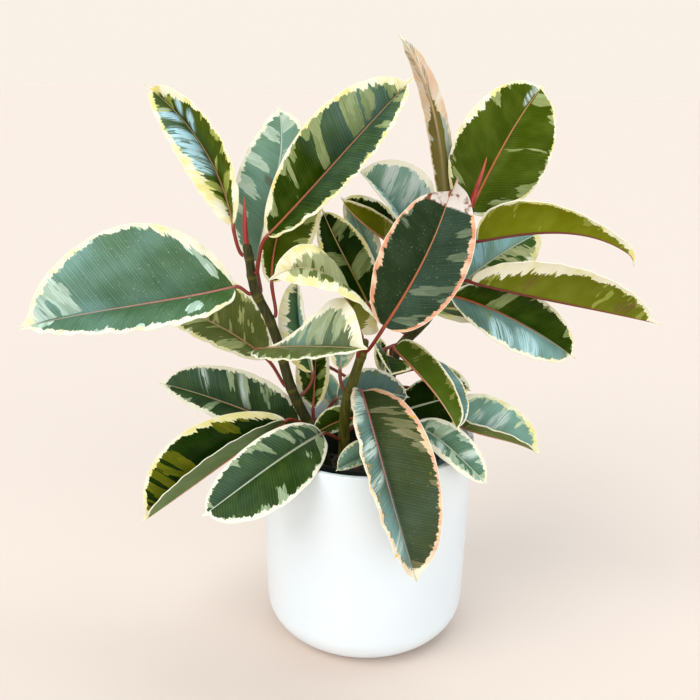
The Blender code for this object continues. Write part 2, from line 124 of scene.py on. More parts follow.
class Field:  # a number in a material, which can be added to and multiplied like a plain one

    def __init__(self, tree, socket):
        self.tree = tree
        self.socket = socket

    def math(self, operation, *others):
        values = dict(enumerate((self, *others)))
        node = addNode(self.tree, "ShaderNodeMath", values, operation=operation)
        return Field(self.tree, node.outputs[0])

    def __add__(self, other):
        return self.math("ADD", other)

    def __sub__(self, other):
        return self.math("SUBTRACT", other)

    def __mul__(self, other):
        return self.math("MULTIPLY", other)

    def size(self):
        return self.math("ABSOLUTE")

    def most(self, other):
        return self.math("MAXIMUM", other)

    def step(self, low, high):  # 0 below low and 1 above high, or the other way round
        ends = {"Value": self, "From Min": low, "From Max": high}
        node = addNode(self.tree, "ShaderNodeMapRange", ends, interpolation_type="SMOOTHSTEP")
        return Field(self.tree, node.outputs[0])


def separate(tree, vector):
    return [Field(tree, output) for output in addNode(tree, "ShaderNodeSeparateXYZ", {0: vector}).outputs]


def mixColour(tree, share, first, second):
    return addNode(tree, "ShaderNodeMix", {0: share, 6: first, 7: second}, data_type="RGBA").outputs[2]


class Skin:  # a material whose colour is painted over step by step

    def __init__(self, name, colour, roughness, others=None):
        self.material = bpy.data.materials.new(name)
        self.material.use_nodes = True
        self.tree = self.material.node_tree
        self.shader = self.tree.nodes["Principled BSDF"]
        self.colour = colour
        for key, value in {"Base Color": (*colour, 1), "Roughness": roughness, **(others or {})}.items():
            self.shader.inputs[key].default_value = value

    def link(self, value, name):
        self.tree.links.new(getattr(value, "socket", value), self.shader.inputs[name])

    def field(self, name):
        node = addNode(self.tree, "ShaderNodeAttribute", attribute_name=name)
        return Field(self.tree, node.outputs["Fac"])

    def fields(self, name):
        node = addNode(self.tree, "ShaderNodeAttribute", attribute_name=name)
        return separate(self.tree, node.outputs["Vector"])

    def noise(self, x, y=0.0, z=0.0, detail=2.0, roughness=0.5):
        place = addNode(self.tree, "ShaderNodeCombineXYZ", {"X": x, "Y": y, "Z": z}).outputs[0]
        values = {"Vector": place, "Scale": 1.0, "Detail": detail, "Roughness": roughness}
        return Field(self.tree, addNode(self.tree, "ShaderNodeTexNoise", values).outputs[0])

    def grain(self, across, up, detail=2.0):  # noise in the object's own places, this fine to a metre
        x, y, z = separate(self.tree, addNode(self.tree, "ShaderNodeTexCoord").outputs["Object"])
        return self.noise(x * across, y * across, z * up, detail)

    def paint(self, share, colour):
        self.colour = mixColour(self.tree, share, self.colour, colour)

    def finish(self, height, strength, distance=0.001):
        values = {"Height": height, "Strength": strength, "Distance": distance}
        self.link(addNode(self.tree, "ShaderNodeBump", values).outputs[0], "Normal")
        self.link(self.colour, "Base Color")
        return self.material


def screenColour(red, green, blue):  # a colour as it looks on a screen, 0 to 255, made linear
    parts = [value / 255 for value in (red, green, blue)]
    return tuple(p / 12.92 if p <= 0.04045 else ((p + 0.055) / 1.055) ** 2.4 for p in parts)


def screenColours(rows):
    return {name: [screenColour(*colour) for colour in row] for name, row in rows.items()}


# camera, floor and light

studio = {
    "cameraPlace": (0.0, -0.812, 0.579), "cameraDown": 18.6, "cameraRoll": 1.27,
    "lens": 43.71, "shift": -0.0281,
    "floorSize": 40, "floorColour": (0.79, 0.66, 0.58),
    "horizonColour": (0.955, 0.88, 0.79), "zenithColour": (0.40, 0.47, 0.52), "skyStrength": 1.0,
}


def makeCamera():
    camera = bpy.data.objects.new("camera", bpy.data.cameras.new("camera"))
    bpy.context.scene.collection.objects.link(camera)
    camera.data.lens = studio["lens"]
    camera.data.sensor_width = 36
    camera.data.shift_x = studio["shift"]
    down = Matrix.Rotation(math.radians(90 - studio["cameraDown"]), 4, "X")
    roll = Matrix.Rotation(math.radians(studio["cameraRoll"]), 4, "Z")
    camera.matrix_world = Matrix.Translation(studio["cameraPlace"]) @ down @ roll
    bpy.context.scene.camera = camera


def makeFloor():
    selectOnly()
    bpy.ops.mesh.primitive_grid_add(x_subdivisions=8, y_subdivisions=8, size=studio["floorSize"])
    floor = bpy.context.object
    floor.name = "studioFloor"
    paint = Skin("floorPaint", studio["floorColour"], 0.9, {"Specular IOR Level": 0.1})
    floor.data.materials.append(paint.material)


def makeSky():
    world = bpy.data.worlds.new("studioSky")
    bpy.context.scene.world = world
    world.use_nodes = True
    tree = world.node_tree
    up = separate(tree, addNode(tree, "ShaderNodeTexCoord").outputs["Generated"])[2]
    colour = mixColour(tree, up.step(0.12, 0.4), studio["horizonColour"], studio["zenithColour"])
    background = tree.nodes["Background"]
    tree.links.new(colour, background.inputs["Color"])
    background.inputs["Strength"].default_value = studio["skyStrength"]


lamps = [  # name, where the light comes from, width in degrees, strength, colour
    ("softKey", (-0.6, -0.55, 0.9), 46, 1.55, (1.0, 0.985, 0.95)),
    ("softSky", (0.15, 0.45, 1.0), 60, 1.0, (0.93, 0.98, 0.97)),
    ("window", (0.42, 0.14, 0.9), 24, 0.4, (0.72, 0.86, 1.0)),
    ("fill", (0.45, -0.85, 0.3), 60, 0.85, (0.96, 0.98, 0.98)),
]


def makeLamps():
    for name, source, width, strength, colour in lamps:
        data = bpy.data.lights.new(name, "SUN")
        data.angle = math.radians(width)
        data.energy = strength
        data.color = colour
        lamp = bpy.data.objects.new(name, data)
        bpy.context.scene.collection.objects.link(lamp)
        lamp.rotation_mode = "QUATERNION"
        lamp.rotation_quaternion = (-Vector(source)).to_track_quat("-Z", "Y")


bpy.context.scene.view_settings.view_transform = "Standard"
makeCamera()
makeFloor()
makeSky()
makeLamps()
print("studio ready")


# the planter, the inner pot and the soil

planter = {
    "radius": 110.0, "height": 218.0, "wall": 6.0, "floor": 10.0, "lip": 2.0,
    "baseRadius": 106.0, "baseRounding": 33.0, "taper": 1.5, "taperHeight": 120.0,
    "steps": 144, "roughness": 0.32, "colour": (0.88, 0.95, 1.0), "cloud": (0.83, 0.93, 1.0),
}

innerPot = {
    "radius": 77.0, "footRadius": 58.0, "height": 198.0, "wall": 1.6,
    "lip": 3.5, "lipHeight": 12.0, "bevel": 3.0, "standsAt": planter["floor"] + gap,
    "steps": 96, "roughness": 0.42, "colour": (0.012, 0.016, 0.010), "dust": (0.05, 0.045, 0.032),
}

soil = {
    "top": 166.0, "mound": 2.0, "edge": 4.0, "clearance": 0.8, "bumps": 1.2, "rings": 18, "steps": 72,
    "seed": 7, "lumps": 260, "lumpSize": (1.2, 3.6), "lumpReach": 0.92, "lumpRise": 1.5,
    "roughness": 0.95, "colour": (0.020, 0.013, 0.008), "dryColour": (0.06, 0.042, 0.026),
}


def roundStretch(centre, height, radius, start, end, steps):
    angles = np.radians(np.linspace(start, end, steps + 1))
    return [(centre + radius * math.cos(angle), height + radius * math.sin(angle)) for angle in angles]


def turnProfile(name, profile, steps):  # a small circle is pulled out into the profile and then spun
    selectOnly()
    bpy.ops.mesh.primitive_circle_add(vertices=len(profile), radius=0.01, fill_type="NOTHING")
    piece = bpy.context.object
    setMeshPlaces(piece.data, [(radius * mm, 0, height * mm) for radius, height in profile])
    bpy.ops.object.mode_set(mode="EDIT")
    bpy.ops.mesh.select_all(action="SELECT")
    bpy.ops.mesh.spin(steps=steps, angle=2 * math.pi, center=(0, 0, 0), axis=(0, 0, 1), dupli=False)
    bpy.ops.mesh.select_all(action="SELECT")
    bpy.ops.mesh.remove_doubles(threshold=0.00002)
    bpy.ops.mesh.normals_make_consistent(inside=False)
    bpy.ops.object.mode_set(mode="OBJECT")
    piece.name = name
    piece.data.name = name
    return piece


def planterPaint():
    coat = {"Coat Weight": 0.25, "Coat Roughness": 0.25}
    glaze = Skin("planterGlaze", planter["colour"], planter["roughness"], coat)
    glaze.paint(glaze.grain(9, 7, 3).step(0.3, 0.75), planter["cloud"])
    grain = glaze.grain(700, 700)
    glaze.link(grain * 0.12 + 0.26, "Roughness")
    return glaze.finish(glaze.grain(60, 45, 3) + grain * 0.08, 0.06)


def makePlanter():
    radius, height, lip, wall = (planter[key] for key in ("radius", "height", "lip", "wall"))
    base, rounding, floor = (planter[key] for key in ("baseRadius", "baseRounding", "floor"))
    inside = radius - wall
    flat = base - rounding
    profile = [(0, 0), (flat * 0.5, 0)]
    profile += roundStretch(flat, rounding, rounding, -90, 0, 16)
    for step in (0.25, 0.5, 0.75):
        profile.append((base + (radius - base) * step, rounding + (height - lip - rounding) * step))
    profile += roundStretch(radius - lip, height - lip, lip, 0, 90, 6)
    profile += roundStretch(inside + lip, height - lip, lip, 90, 180, 6)
    profile.append((inside - planter["taper"], planter["taperHeight"]))
    profile += roundStretch(flat, floor + rounding - wall, rounding - wall, 0, -90, 8)
    profile.append((0, floor))
    piece = turnProfile("planterBody", profile, planter["steps"])
    finishPiece(piece, "planter", "planter", planterPaint())


def innerPotRadius(height):
    share = (height - innerPot["standsAt"]) / innerPot["height"]
    top = innerPot["radius"] - innerPot["lip"]
    return innerPot["footRadius"] + (top - innerPot["footRadius"]) * share


def innerPotPlastic():
    plastic = Skin("innerPotPlastic", innerPot["colour"], innerPot["roughness"])
    plastic.paint(plastic.grain(40, 90, 4).step(0.45, 0.8), innerPot["dust"])
    return plastic.finish(plastic.grain(300, 300), 0.15)


def makeInnerPot():
    radius, wall, bevel = (innerPot[key] for key in ("radius", "wall", "bevel"))
    foot = innerPot["standsAt"]
    low = innerPot["footRadius"]
    top = foot + innerPot["height"]
    lipFoot = top - innerPot["lipHeight"]
    neck = lipFoot - bevel
    # in mm: 0.6 to 1 rounds an edge
    profile = [(0, foot), (low - bevel, foot), (low - 0.8, foot + 0.8), (low, foot + bevel)]
    profile += [(innerPotRadius(neck), neck), (radius - 1, lipFoot - 0.6), (radius, lipFoot)]
    profile += roundStretch(radius - wall / 2, top - wall / 2, wall / 2, 0, 180, 6)
    profile += [(radius - wall, lipFoot + 1), (radius - wall - 0.8, lipFoot - 0.8)]
    profile += [(innerPotRadius(neck) - wall, neck), (low - wall, foot + wall + bevel)]
    profile += [(low - wall - bevel, foot + wall), (0, foot + wall)]
    piece = turnProfile("innerPotBody", profile, innerPot["steps"])
    finishPiece(piece, "inner_pot", "inner_pot", innerPotPlastic(), 35)


def soilCrumb():
    earth = Skin("pottingSoil", soil["colour"], soil["roughness"])
    crumb = earth.grain(260, 260, 5)
    earth.paint(crumb.step(0.4, 0.7), soil["dryColour"])
    return earth.finish(crumb, 0.8, 0.002)


def makeSoil():
    foot = innerPot["standsAt"] + innerPot["wall"] + gap
    side = innerPot["wall"] + soil["clearance"]
    shoulder = soil["top"] - soil["edge"]
    outer = innerPotRadius(shoulder) - side
    low = innerPot["footRadius"] - side
    bevel = innerPot["bevel"]
    profile = [(0, foot), (low - bevel, foot), (low, foot + bevel), (outer, shoulder)]
    for share in np.arange(1, soil["rings"]) / soil["rings"]:
        rise = soil["edge"] * smoothStep(share, 0, 0.2) + soil["mound"] * share
        profile.append((outer * (1 - share), shoulder + rise))
    profile.append((0, soil["top"] + soil["mound"]))
    ground = turnProfile("soilGround", profile, soil["steps"])
    places = meshPlaces(ground.data)
    chance = np.random.default_rng(soil["seed"])
    bumps = chance.uniform(-soil["bumps"], soil["bumps"], len(places))
    places[:, 2] += np.where(places[:, 2] > (shoulder + 0.5) * mm, bumps * mm, 0)
    setMeshPlaces(ground.data, places)
    lumps = []
    for number in range(soil["lumps"]):
        angle = chance.uniform(0, 2 * math.pi)
        reach = outer * soil["lumpReach"] * math.sqrt(chance.uniform(0, 1))
        size = chance.uniform(*soil["lumpSize"])
        spot = Vector((reach * math.cos(angle), reach * math.sin(angle), soil["top"] + soil["lumpRise"]))
        selectOnly()
        bpy.ops.mesh.primitive_ico_sphere_add(subdivisions=1, radius=size * mm, location=spot * mm)
        lump = bpy.context.object
        lump.scale = chance.uniform(0.5, 1.3, 3)
        lump.rotation_euler = chance.uniform(0, 3, 3)
        lumps.append(lump)
    selectOnly(*lumps)
    bpy.ops.object.transform_apply(location=True, rotation=True, scale=True)
    finishPiece(joinPieces([ground, *lumps], "soilFill"), "soil", "soil", soilCrumb(), 0)


makePlanter()
makeInnerPot()
makeSoil()
print("pots and soil ready")


# the canes and the furled sheaths

canes = {
    "cane_left": [(-30, -8, 140), (-44, -11, 190), (-62, -12, 231), (-79, -10, 267), (-89, -8, 306),
                  (-101, -6, 341), (-114, -6, 367), (-118, -5, 396), (-121, -4, 412)],
    "cane_middle": [(-26, -22, 140), (-24, -25, 193), (-24, -28, 235), (-22, -30, 262), (-17, -31, 280),
                    (-11, -32, 300), (-7, -33, 314), (-5, -34, 328)],
    "cane_right": [(16, 14, 140), (18, 15, 200), (20, 15, 245), (24, 15, 288), (33, 15, 308),
                   (47, 14, 323), (62, 13, 344), (82, 11, 388), (90, 9, 418), (94, 8, 450)],
}

caneLook = {
    "footRadius": 6.0, "topRadius": 4.6, "inset": 0.25, "stepsPerSpan": 2, "smoothPasses": 5, "sides": 20,
    "rings": 102,  # the most that one subdivision makes
    "nodeSwell": 0.55, "swellWidth": 2.6, "swellBelow": 2.5, "ringWidth": 1.3, "ringBelow": 4.0,
    "bark": {"cane_left": (46, 46, 8), "cane_middle": (74, 74, 14), "cane_right": (46, 46, 8)},
    "ring": (124, 112, 38), "roughness": 0.5,
}

sheaths = {
    "sheath_left": ("cane_left", [(-122, -4, 428), (-122, -4, 444), (-122, -5, 458)]),
    "sheath_right": ("cane_right", [(98, 8, 466), (103, 9, 482), (107, 10, 498)]),
}

sheathLook = {
    "radius": 2.5, "tipRadius": 0.15, "stepsPerSpan": 8, "sides": 16, "roughness": 0.35,
    "foot": (138, 24, 22), "streak": (190, 62, 54), "tip": (204, 92, 72),
}


def smoothRoute(points, stepsPerSpan):
    route = [Vector(point) for point in points]
    padded = [2 * route[0] - route[1], *route, 2 * route[-1] - route[-2]]
    result = []
    for before, start, end, after in zip(padded, padded[1:], padded[2:], padded[3:]):
        for step in range(stepsPerSpan):
            t = step / stepsPerSpan
            result.append(0.5 * (2 * start + (end - before) * t
                                 + (2 * before - 5 * start + 4 * end - after) * t ** 2
                                 + (3 * start - before - 3 * end + after) * t ** 3))
    result.append(route[-1])
    return np.array(result)


def tubeAlong(name, places, radii, sides, mark, values):  # the values are kept as the mark at each ring
    selectOnly()
    bpy.ops.mesh.primitive_cylinder_add(vertices=sides, radius=1, depth=2, end_fill_type="NGON")
    piece = bpy.context.object
    mesh = piece.data
    bpy.ops.object.mode_set(mode="EDIT")
    bpy.ops.mesh.select_mode(type="EDGE")
    bpy.ops.mesh.select_all(action="DESELECT")
    bpy.ops.object.mode_set(mode="OBJECT")
    heights = meshPlaces(mesh)[:, 2]
    for edge in mesh.edges:
        edge.select = bool(abs(heights[edge.vertices[0]] - heights[edge.vertices[1]]) > 1)
    bpy.ops.object.mode_set(mode="EDIT")
    bpy.ops.mesh.subdivide(number_cuts=len(places) - 2)
    bpy.ops.object.mode_set(mode="OBJECT")
    corners = meshPlaces(mesh)
    ring = np.rint((corners[:, 2] + 1) / 2 * (len(places) - 1)).astype(int)
    along = unit(np.gradient(places, axis=0))
    side = unit(np.cross(along, (0, 1, 0.001)))
    back = np.cross(along, side)
    flat = corners[:, 0:1] * side[ring] - corners[:, 1:2] * back[ring]
    setMeshPlaces(mesh, (places[ring] + flat * radii[ring][:, None]) * mm)
    setPointValues(mesh, mark, values[ring])
    piece.name = name
    return piece


def caneRadii(route):
    return np.linspace(caneLook["footRadius"], caneLook["topRadius"], len(route))


def caneBark(name):
    bark = screenColour(*caneLook["bark"][name])
    skin = Skin(name + "Bark", bark, caneLook["roughness"], {"Specular IOR Level": 0.25})
    streak = skin.grain(500, 45, 3)
    blotch = skin.grain(120, 60, 3)
    skin.paint(streak.step(0.35, 0.75), tuple(min(1, 1.9 * part + 0.01) for part in bark))
    skin.paint(blotch.step(0.6, 0.75) * 0.5, tuple(part * 0.45 for part in bark))
    skin.paint(skin.field("nodeRing") * 0.55, screenColour(*caneLook["ring"]))
    return skin.finish(streak * 0.5 + blotch, 0.25)


def makeCane(name):
    coarse = smoothRoute(canes[name], caneLook["stepsPerSpan"])
    shares = np.linspace(0, 1, len(coarse))
    fine = np.linspace(0, 1, caneLook["rings"])
    route = np.array([np.interp(fine, shares, coarse[:, axis]) for axis in range(3)]).T
    for _ in range(caneLook["smoothPasses"]):
        route[1:-1] = (route[:-2] + route[2:]) / 2 * 0.5 + route[1:-1] * 0.5
    swell = np.zeros(len(route))
    ringed = np.zeros(len(route))
    for height in [leaf["node"] for leaf in leaves.values() if leaf["cane"] == name]:
        swell += hump(route[:, 2], height - caneLook["swellBelow"], caneLook["swellWidth"])
        ringed += hump(route[:, 2], height - caneLook["ringBelow"], caneLook["ringWidth"])
    radii = caneRadii(route) + caneLook["nodeSwell"] * np.minimum(swell, 1) - caneLook["inset"]
    radii[-2:] *= (0.9, 0.6)  # the top is rounded off
    ringed = np.minimum(ringed, 1)
    piece = tubeAlong(name + "Bark", route, radii, caneLook["sides"], "nodeRing", ringed)
    finishPiece(piece, name, "cane", caneBark(name))


def sheathSkin():
    foot = screenColour(*sheathLook["foot"])
    skin = Skin("sheathSkin", foot, sheathLook["roughness"], {"Coat Weight": 0.2})
    streak = skin.grain(600, 25, 3)
    skin.paint(streak.step(0.3, 0.7), screenColour(*sheathLook["streak"]))
    skin.paint(skin.field("sheathShare").step(0.35, 1.0), screenColour(*sheathLook["tip"]))
    return skin.finish(streak, 0.2)


def makeSheath(name, skin):
    caneName, points = sheaths[name]
    route = smoothRoute(canes[caneName], caneLook["stepsPerSpan"])
    foot = tuple(route[-1] + unit(route[-1] - route[-2]) * gap)
    path = smoothRoute([foot, *points], sheathLook["stepsPerSpan"])
    share = np.linspace(0, 1, len(path))
    radii = sheathLook["radius"] * (1 - share) ** 0.7 * (1 + 0.15 * np.sin(math.pi * share)) + 0.3
    radii[-1] = sheathLook["tipRadius"]
    piece = tubeAlong(name + "Skin", path, radii, sheathLook["sides"], "sheathShare", share)
    finishPiece(piece, name, "sheath", skin)


# the leaves: left and right are each half's edge at its widest, from the midrib, and a patch, hole, brown
# or painted highlight is its share along the leaf, how far out it lies (left is below 0) and its reach out
# and along

leaves = {}
leaves["leaf_left_1"] = dict(cane="cane_left", node=402,
    spine=[(-134, -2, 430), (-152, 26, 474), (-184, 52, 517), (-229, 74, 554)], left=(-21, -24, -6),
    right=(17, -26, 20), leftShape=(0.5, 0.95), rightShape=(0.5, 0.75), tone="olive", rib="tan",
    pale=(176, 182, 96), paintedSheen=((0, 0.02, 0.15, 0.12, 0), 0), highlightTint=(202, 242, 255),
    cream=((13, 13, 12, 10, 6, 3, 3, 5, 8), (12, 8, 4, 1.8, 1.6, 2, 6, 12, 12)),
    patches=[(0.14, -0.4, 9, 7), (0.24, -0.35, 9, 6), (0.2, 0.5, 12, 6), (0.33, 0.35, 10, 3.5),
        (0.82, 0.3, 12, 7), (0.92, 0.5, 8, 6), (0.8, -0.5, 8, 4)],
    paintedHighlights=[(0.4, -0.5, 17, 15), (0.56, -0.45, 17, 17), (0.74, -0.35, 12, 10), (0.62, 0.4, 10, 8),
        (0.74, 0.5, 8, 6)])
leaves["leaf_left_2"] = dict(cane="cane_left", node=384,
    spine=[(-99, -14, 423), (-60, -14, 465), (-12, -16, 519), (34, -24, 569)], left=(-29, -5, 32),
    right=(20, -40, -6), leftShape=(0.48, 1.2), rightShape=(0.45, 1.15), tone="deep", pale=(156, 168, 116),
    paintedSheen=((0, 0, 0, 0.12, 0.3, 0.1), (0, 0.02, 0.06, 0.14, 0.14)),
    cream=((4, 6, 3.5, 3, 3, 3, 4.5, 8, 12), (3, 3, 2.8, 2.8, 2.8, 3.5, 5, 9)),
    patches=[(0.12, -0.75, 10, 5), (0.3, -0.62, 16, 4), (0.36, -0.8, 6, 3), (0.5, -0.55, 20, 5.5),
        (0.56, -0.85, 8, 5), (0.7, -0.5, 30, 9), (0.8, -0.6, 14, 6), (0.9, -0.4, 12, 8), (0.78, 0.8, 8, 4),
        (0.9, 0.5, 12, 6)])
leaves["leaf_left_3"] = dict(cane="cane_left", node=366,
    spine=[(-132, -14, 372), (-194, -28, 361), (-262, -46, 352), (-322, -68, 342)], left=(6, -45, -13),
    right=(-14, 5, 75), leftShape=(0.48, 0.72), rightShape=(0.62, 0.88), tone="fresh", pale=(216, 238, 224),
    rib="rose", dust=2, ivory=0.25, drip=2.2, paintedSheen=((0.05, 0.12, 0.2, 0.3), (0.05, 0.2, 0.35, 0.55, 0.5)),
    cream=((4, 5, 5, 5, 4, 4, 4, 6, 8), (9, 11, 9, 4.5, 3.5, 4, 6, 8, 9)),
    patches=[(0.2, -0.6, 7, 6), (0.93, -0.3, 8, 14), (0.17, 0.85, 16, 7), (0.1, 0.55, 10, 5),
        (0.86, 0.45, 50, 24), (0.93, 0.1, 50, 16), (0.99, 0.1, 40, 16)],
    holes=[(0.9, 0.35, 9, 4), (0.83, 0.25, 9, 3.5)], paintedHighlights=[(0.93, 0.2, 30, 14)])
leaves["leaf_left_4"] = dict(cane="cane_left", node=269,
    spine=[(-105, 4, 293), (-142, 24, 312), (-184, 46, 325), (-238, 74, 332)], left=(-9, -30, -8),
    right=(22, 10, 42), tone="sage", rib="tan", pale=(176, 180, 120), cream=(3, 5), patch=0.6,
    patches=[(0.3, 0.5, 12, 5), (0.55, -0.4, 14, 6), (0.62, 0.55, 14, 6), (0.2, -0.5, 10, 6)])
leaves["leaf_left_5"] = dict(cane="cane_left", node=362,
    spine=[(-113, 12, 391), (-105, 32, 434), (-94, 54, 486), (-98, 74, 539)], left=(-39, -4, 2),
    right=(39, -2, -2), tone="mist", rib="pale", pale=(206, 222, 200), paintedSheen=(0.2, 0.3), ivory=0.6,
    cream=((3, 3, 3, 4, 8), (2, 2, 2.5, 3, 6)), browns=[(0.5, -0.16, 6, 4)],
    patches=[(0.45, -0.7, 16, 8), (0.62, -0.75, 16, 8), (0.8, -0.4, 14, 7), (0.3, -0.8, 10, 5),
        (0.7, 0.5, 20, 12), (0.88, 0.3, 12, 10)])
leaves["leaf_left_6"] = dict(cane="cane_left", node=338,
    spine=[(-98, 2, 373), (-94, 4, 411), (-79, 8, 450), (-50, 14, 487)], left=(-14, -10, 4),
    right=(34, -6, -8), tone="olive", cream=(2.5, 4), patch=(0.3, 0.2),
    patches=[(0.6, 0.75, 16, 6), (0.4, 0.8, 10, 4), (0.75, 0.5, 12, 5)])
leaves["leaf_middle_1"] = dict(cane="cane_middle", node=312,
    spine=[(-8, -43, 336), (-20, -58, 372), (-48, -82, 406), (-87, -112, 403)], left=(12, -31, -4),
    right=(-4, 24, 14), leftShape=(0.6, 0.7), bulge=6, twist=-70, tone="sage", rib="tan",
    pale=(182, 184, 138), patch=0.9, cream=((16, 15, 11, 9, 9, 12), (14, 14, 11, 9, 11, 14)))
leaves["leaf_middle_2"] = dict(cane="cane_left", node=300,
    spine=[(-110, -26, 313), (-66, -58, 327), (-31, -90, 338), (-2, -125, 349)], left=(12, 6, 45),
    right=(-24, -33, -2), leftShape=(0.9, 2.2), tone="sage", pale=(186, 198, 160),
    paintedSheen=((0.35, 0.35, 0.2, 0), 0), ivory=0.3, rib="tan",
    cream=((3, 3, 4, 6, 10, 14, 16), (1.8, 1.8, 1.8, 1.8, 2, 3, 6)),
    patches=[(0.5, -0.5, 25, 6), (0.62, -0.6, 22, 7), (0.75, -0.5, 20, 8), (0.4, -0.8, 12, 5)])
leaves["leaf_middle_3"] = dict(cane="cane_left", node=256,
    spine=[(-58, 2, 280), (-67, 12, 311), (-73, 20, 345), (-76, 30, 372)], left=(-23, -8, 0),
    right=(8, -26, 2), tone="fresh", rib="pale", pale=(190, 206, 180), cream=((4, 8, 9, 7, 5), (4, 4, 4, 5)),
    patch=(0.4, 0.6), paintedSheen=(0.1, 0.5))
leaves["leaf_middle_4"] = dict(cane="cane_left", node=227,
    spine=[(-57, -2, 242), (-56, 6, 264), (-55, 16, 294), (-54, 26, 318)], left=(-20, -4, 2),
    right=(15, -6, 2), small=True, tone="deep", cream=(4, 2.8), patch=(0.4, 0.5))
leaves["leaf_middle_5"] = dict(cane="cane_middle", node=271,
    spine=[(-29, -20, 292), (-27, -12, 314), (-24, -2, 342), (-22, 8, 365)], left=(-15, -4, 0),
    right=(16, -4, 2), small=True, tone="mist", cream=3, patch=(0.5, 0.6), rib="pale", paintedSheen=0.3)
leaves["leaf_middle_6"] = dict(cane="cane_middle", node=318,
    spine=[(13, -64, 350), (36, -54, 388), (57, -40, 430), (72, -26, 476)], left=(-35, -8, 23),
    right=(38, -8, -14), leftShape=(0.42, 1.03), rightShape=(0.38, 1.05), curl=75, curlFrom=0.86,
    tone="dusk", petal=(3, 0, 9), blush=1, rib="orange", dust=0.8, burnt=1, paintedSheen=(0, 0.04),
    cream=((4, 4, 4, 3, 3, 4), (3, 3.5, 3.5, 4, 5.5, 4, 5)), pale=(112, 124, 98),
    patches=[(0.12, 0.7, 14, 5), (0.32, 0.4, 10, 5), (0.6, 0.75, 14, 4), (0.75, 0.8, 10, 5),
        (0.42, 0.9, 7, 3), (0.66, -0.85, 9, 4)])
leaves["leaf_right_1"] = dict(cane="cane_right", node=425,
    spine=[(73, 16, 434), (65, 18, 493), (50, 16, 553), (20, 10, 605)], left=(14, 34, 0), right=(-8, 36, 0),
    tone="olive", rib="olive", blush=0.4, pale=(206, 226, 220), under=(112, 102, 34), wave=0.3,
    cream=((2, 2, 2, 3, 24, 50, 60), (2, 2, 2, 3, 24, 50, 60)), paintedSheen=0.6,
    patches=[(0.3, -0.95, 7, 60), (0.6, -0.95, 8, 40)],
    browns=[(0.5, 0.5, 6, 14), (0.64, 0.3, 9, 14), (0.8, 0.4, 8, 20), (0.9, -0.3, 8, 14),
        (0.75, -0.4, 6, 14)])
leaves["leaf_right_2"] = dict(cane="cane_right", node=430,
    spine=[(95, 26, 442), (114, 42, 479), (142, 62, 528), (170, 86, 563)], left=(-41, -7, 25),
    right=(43, -7, -22), leftShape=(0.5, 0.86), rightShape=(0.48, 0.95), tone="olive", drip=1.6,
    rib="orange", pale=(166, 172, 120),
    cream=((3.5, 3.5, 2, 2.4, 6, 7, 2.6, 4, 7), (7, 6, 2.4, 2, 2, 2, 2.4, 5)),
    patches=[(0.9, 0.4, 14, 8), (0.5, 0.3, 9, 1.8), (0.2, -0.85, 9, 3), (0.13, 0.55, 9, 4),
        (0.72, -0.9, 6, 4), (0.3, 0.9, 6, 4)], paintedHighlights=[(0.93, -0.3, 9, 5), (0.84, -0.16, 4, 9)])
leaves["leaf_right_3"] = dict(cane="cane_right", node=404,
    spine=[(102, 2, 419), (148, -6, 429), (200, -12, 430), (254, -20, 406)], left=(0, 36, 6),
    right=(0, -13, 34), leftShape=(0.7, 0.7), rightShape=(1.15, 0.5), curl=-70, curlFrom=0.92, tone="fresh",
    rib="wine", drip=1.8, under=(112, 118, 4), cream=((3, 3, 2.5, 3, 7), (3, 2.4, 2.4, 3, 6)), patch=0.3)
leaves["leaf_right_4"] = dict(cane="cane_right", node=380,
    spine=[(97, -8, 381), (153, -18, 371), (220, -26, 360), (276, -34, 350)], left=(0, 34, 14),
    right=(4, -12, 38), tone="fresh", rib="wine", ivory=0.4, cream=(2, (12, 15, 14, 9, 5, 4, 6)),
    patch=(0.2, 0.4), under=(100, 106, 14), browns=[(0.3, 0.3, 10, 6), (0.8, 0.3, 8, 9)])
leaves["leaf_right_5"] = dict(cane="cane_right", node=366,
    spine=[(80, 4, 363), (124, 6, 348), (170, 4, 325), (207, -4, 303)], left=(16, -2, 28),
    right=(-13, -34, -17), leftShape=(0.45, 1.1), rightShape=(0.45, 1.08), tone="deep", rib="orange",
    pale=(150, 162, 110), ivory=0.3, cream=((2, 2, 2.4, 2.4, 2.8), (2.4, 2.6, 3, 4)),
    paintedSheen=(0, (0.3, 0.5, 0.8, 0.7)), highlightTint=(200, 238, 244),
    patches=[(0.34, -0.5, 16, 6), (0.52, -0.85, 6, 3), (0.3, 0.5, 14, 5)],
    paintedHighlights=[(0.4, 0.7, 16, 14), (0.62, 0.6, 16, 14)])
leaves["leaf_right_6"] = dict(cane="cane_right", node=370,
    spine=[(86, 20, 366), (110, 36, 383), (141, 56, 400), (181, 86, 414)], left=(-16, 10, 30),
    right=(16, -12, -26), tone="fresh", rib="pale", pale=(208, 206, 152), cream=(2.6, (5, 7, 8, 9)),
    patch=(0, 0.9), paintedSheen=(0.7, 0), highlightTint=(164, 212, 224), paintedHighlights=[(0.35, -0.5, 16, 12), (0.6, -0.5, 16, 12)])
leaves["leaf_right_7"] = dict(cane="cane_right", node=341,
    spine=[(58, 24, 342), (84, 42, 340), (112, 62, 336), (140, 86, 330)], left=(-20, 26, 0),
    right=(22, -32, -8), tone="olive", cream=8, pale=(198, 204, 112), patch=1)
leaves["leaf_back_1"] = dict(cane="cane_right", node=384,
    spine=[(44, 16, 416), (26, 12, 436), (6, 5, 463), (-15, -2, 485)], left=(-4, -26, 6), right=(35, 4, 31),
    tone="mist", rib="pale", ivory=1, cream=(3.4, (4, 4, 5, 5, 4)), paintedSheen=0.4, patch=0.5,
    highlightTint=(206, 220, 214), pale=(196, 212, 206), patches=[(0.3, 0.8, 14, 6), (0.55, 0.8, 16, 5)],
    paintedHighlights=[(0.5, 0.5, 16, 10), (0.7, 0.4, 16, 10), (0.5, -0.4, 9, 8)])
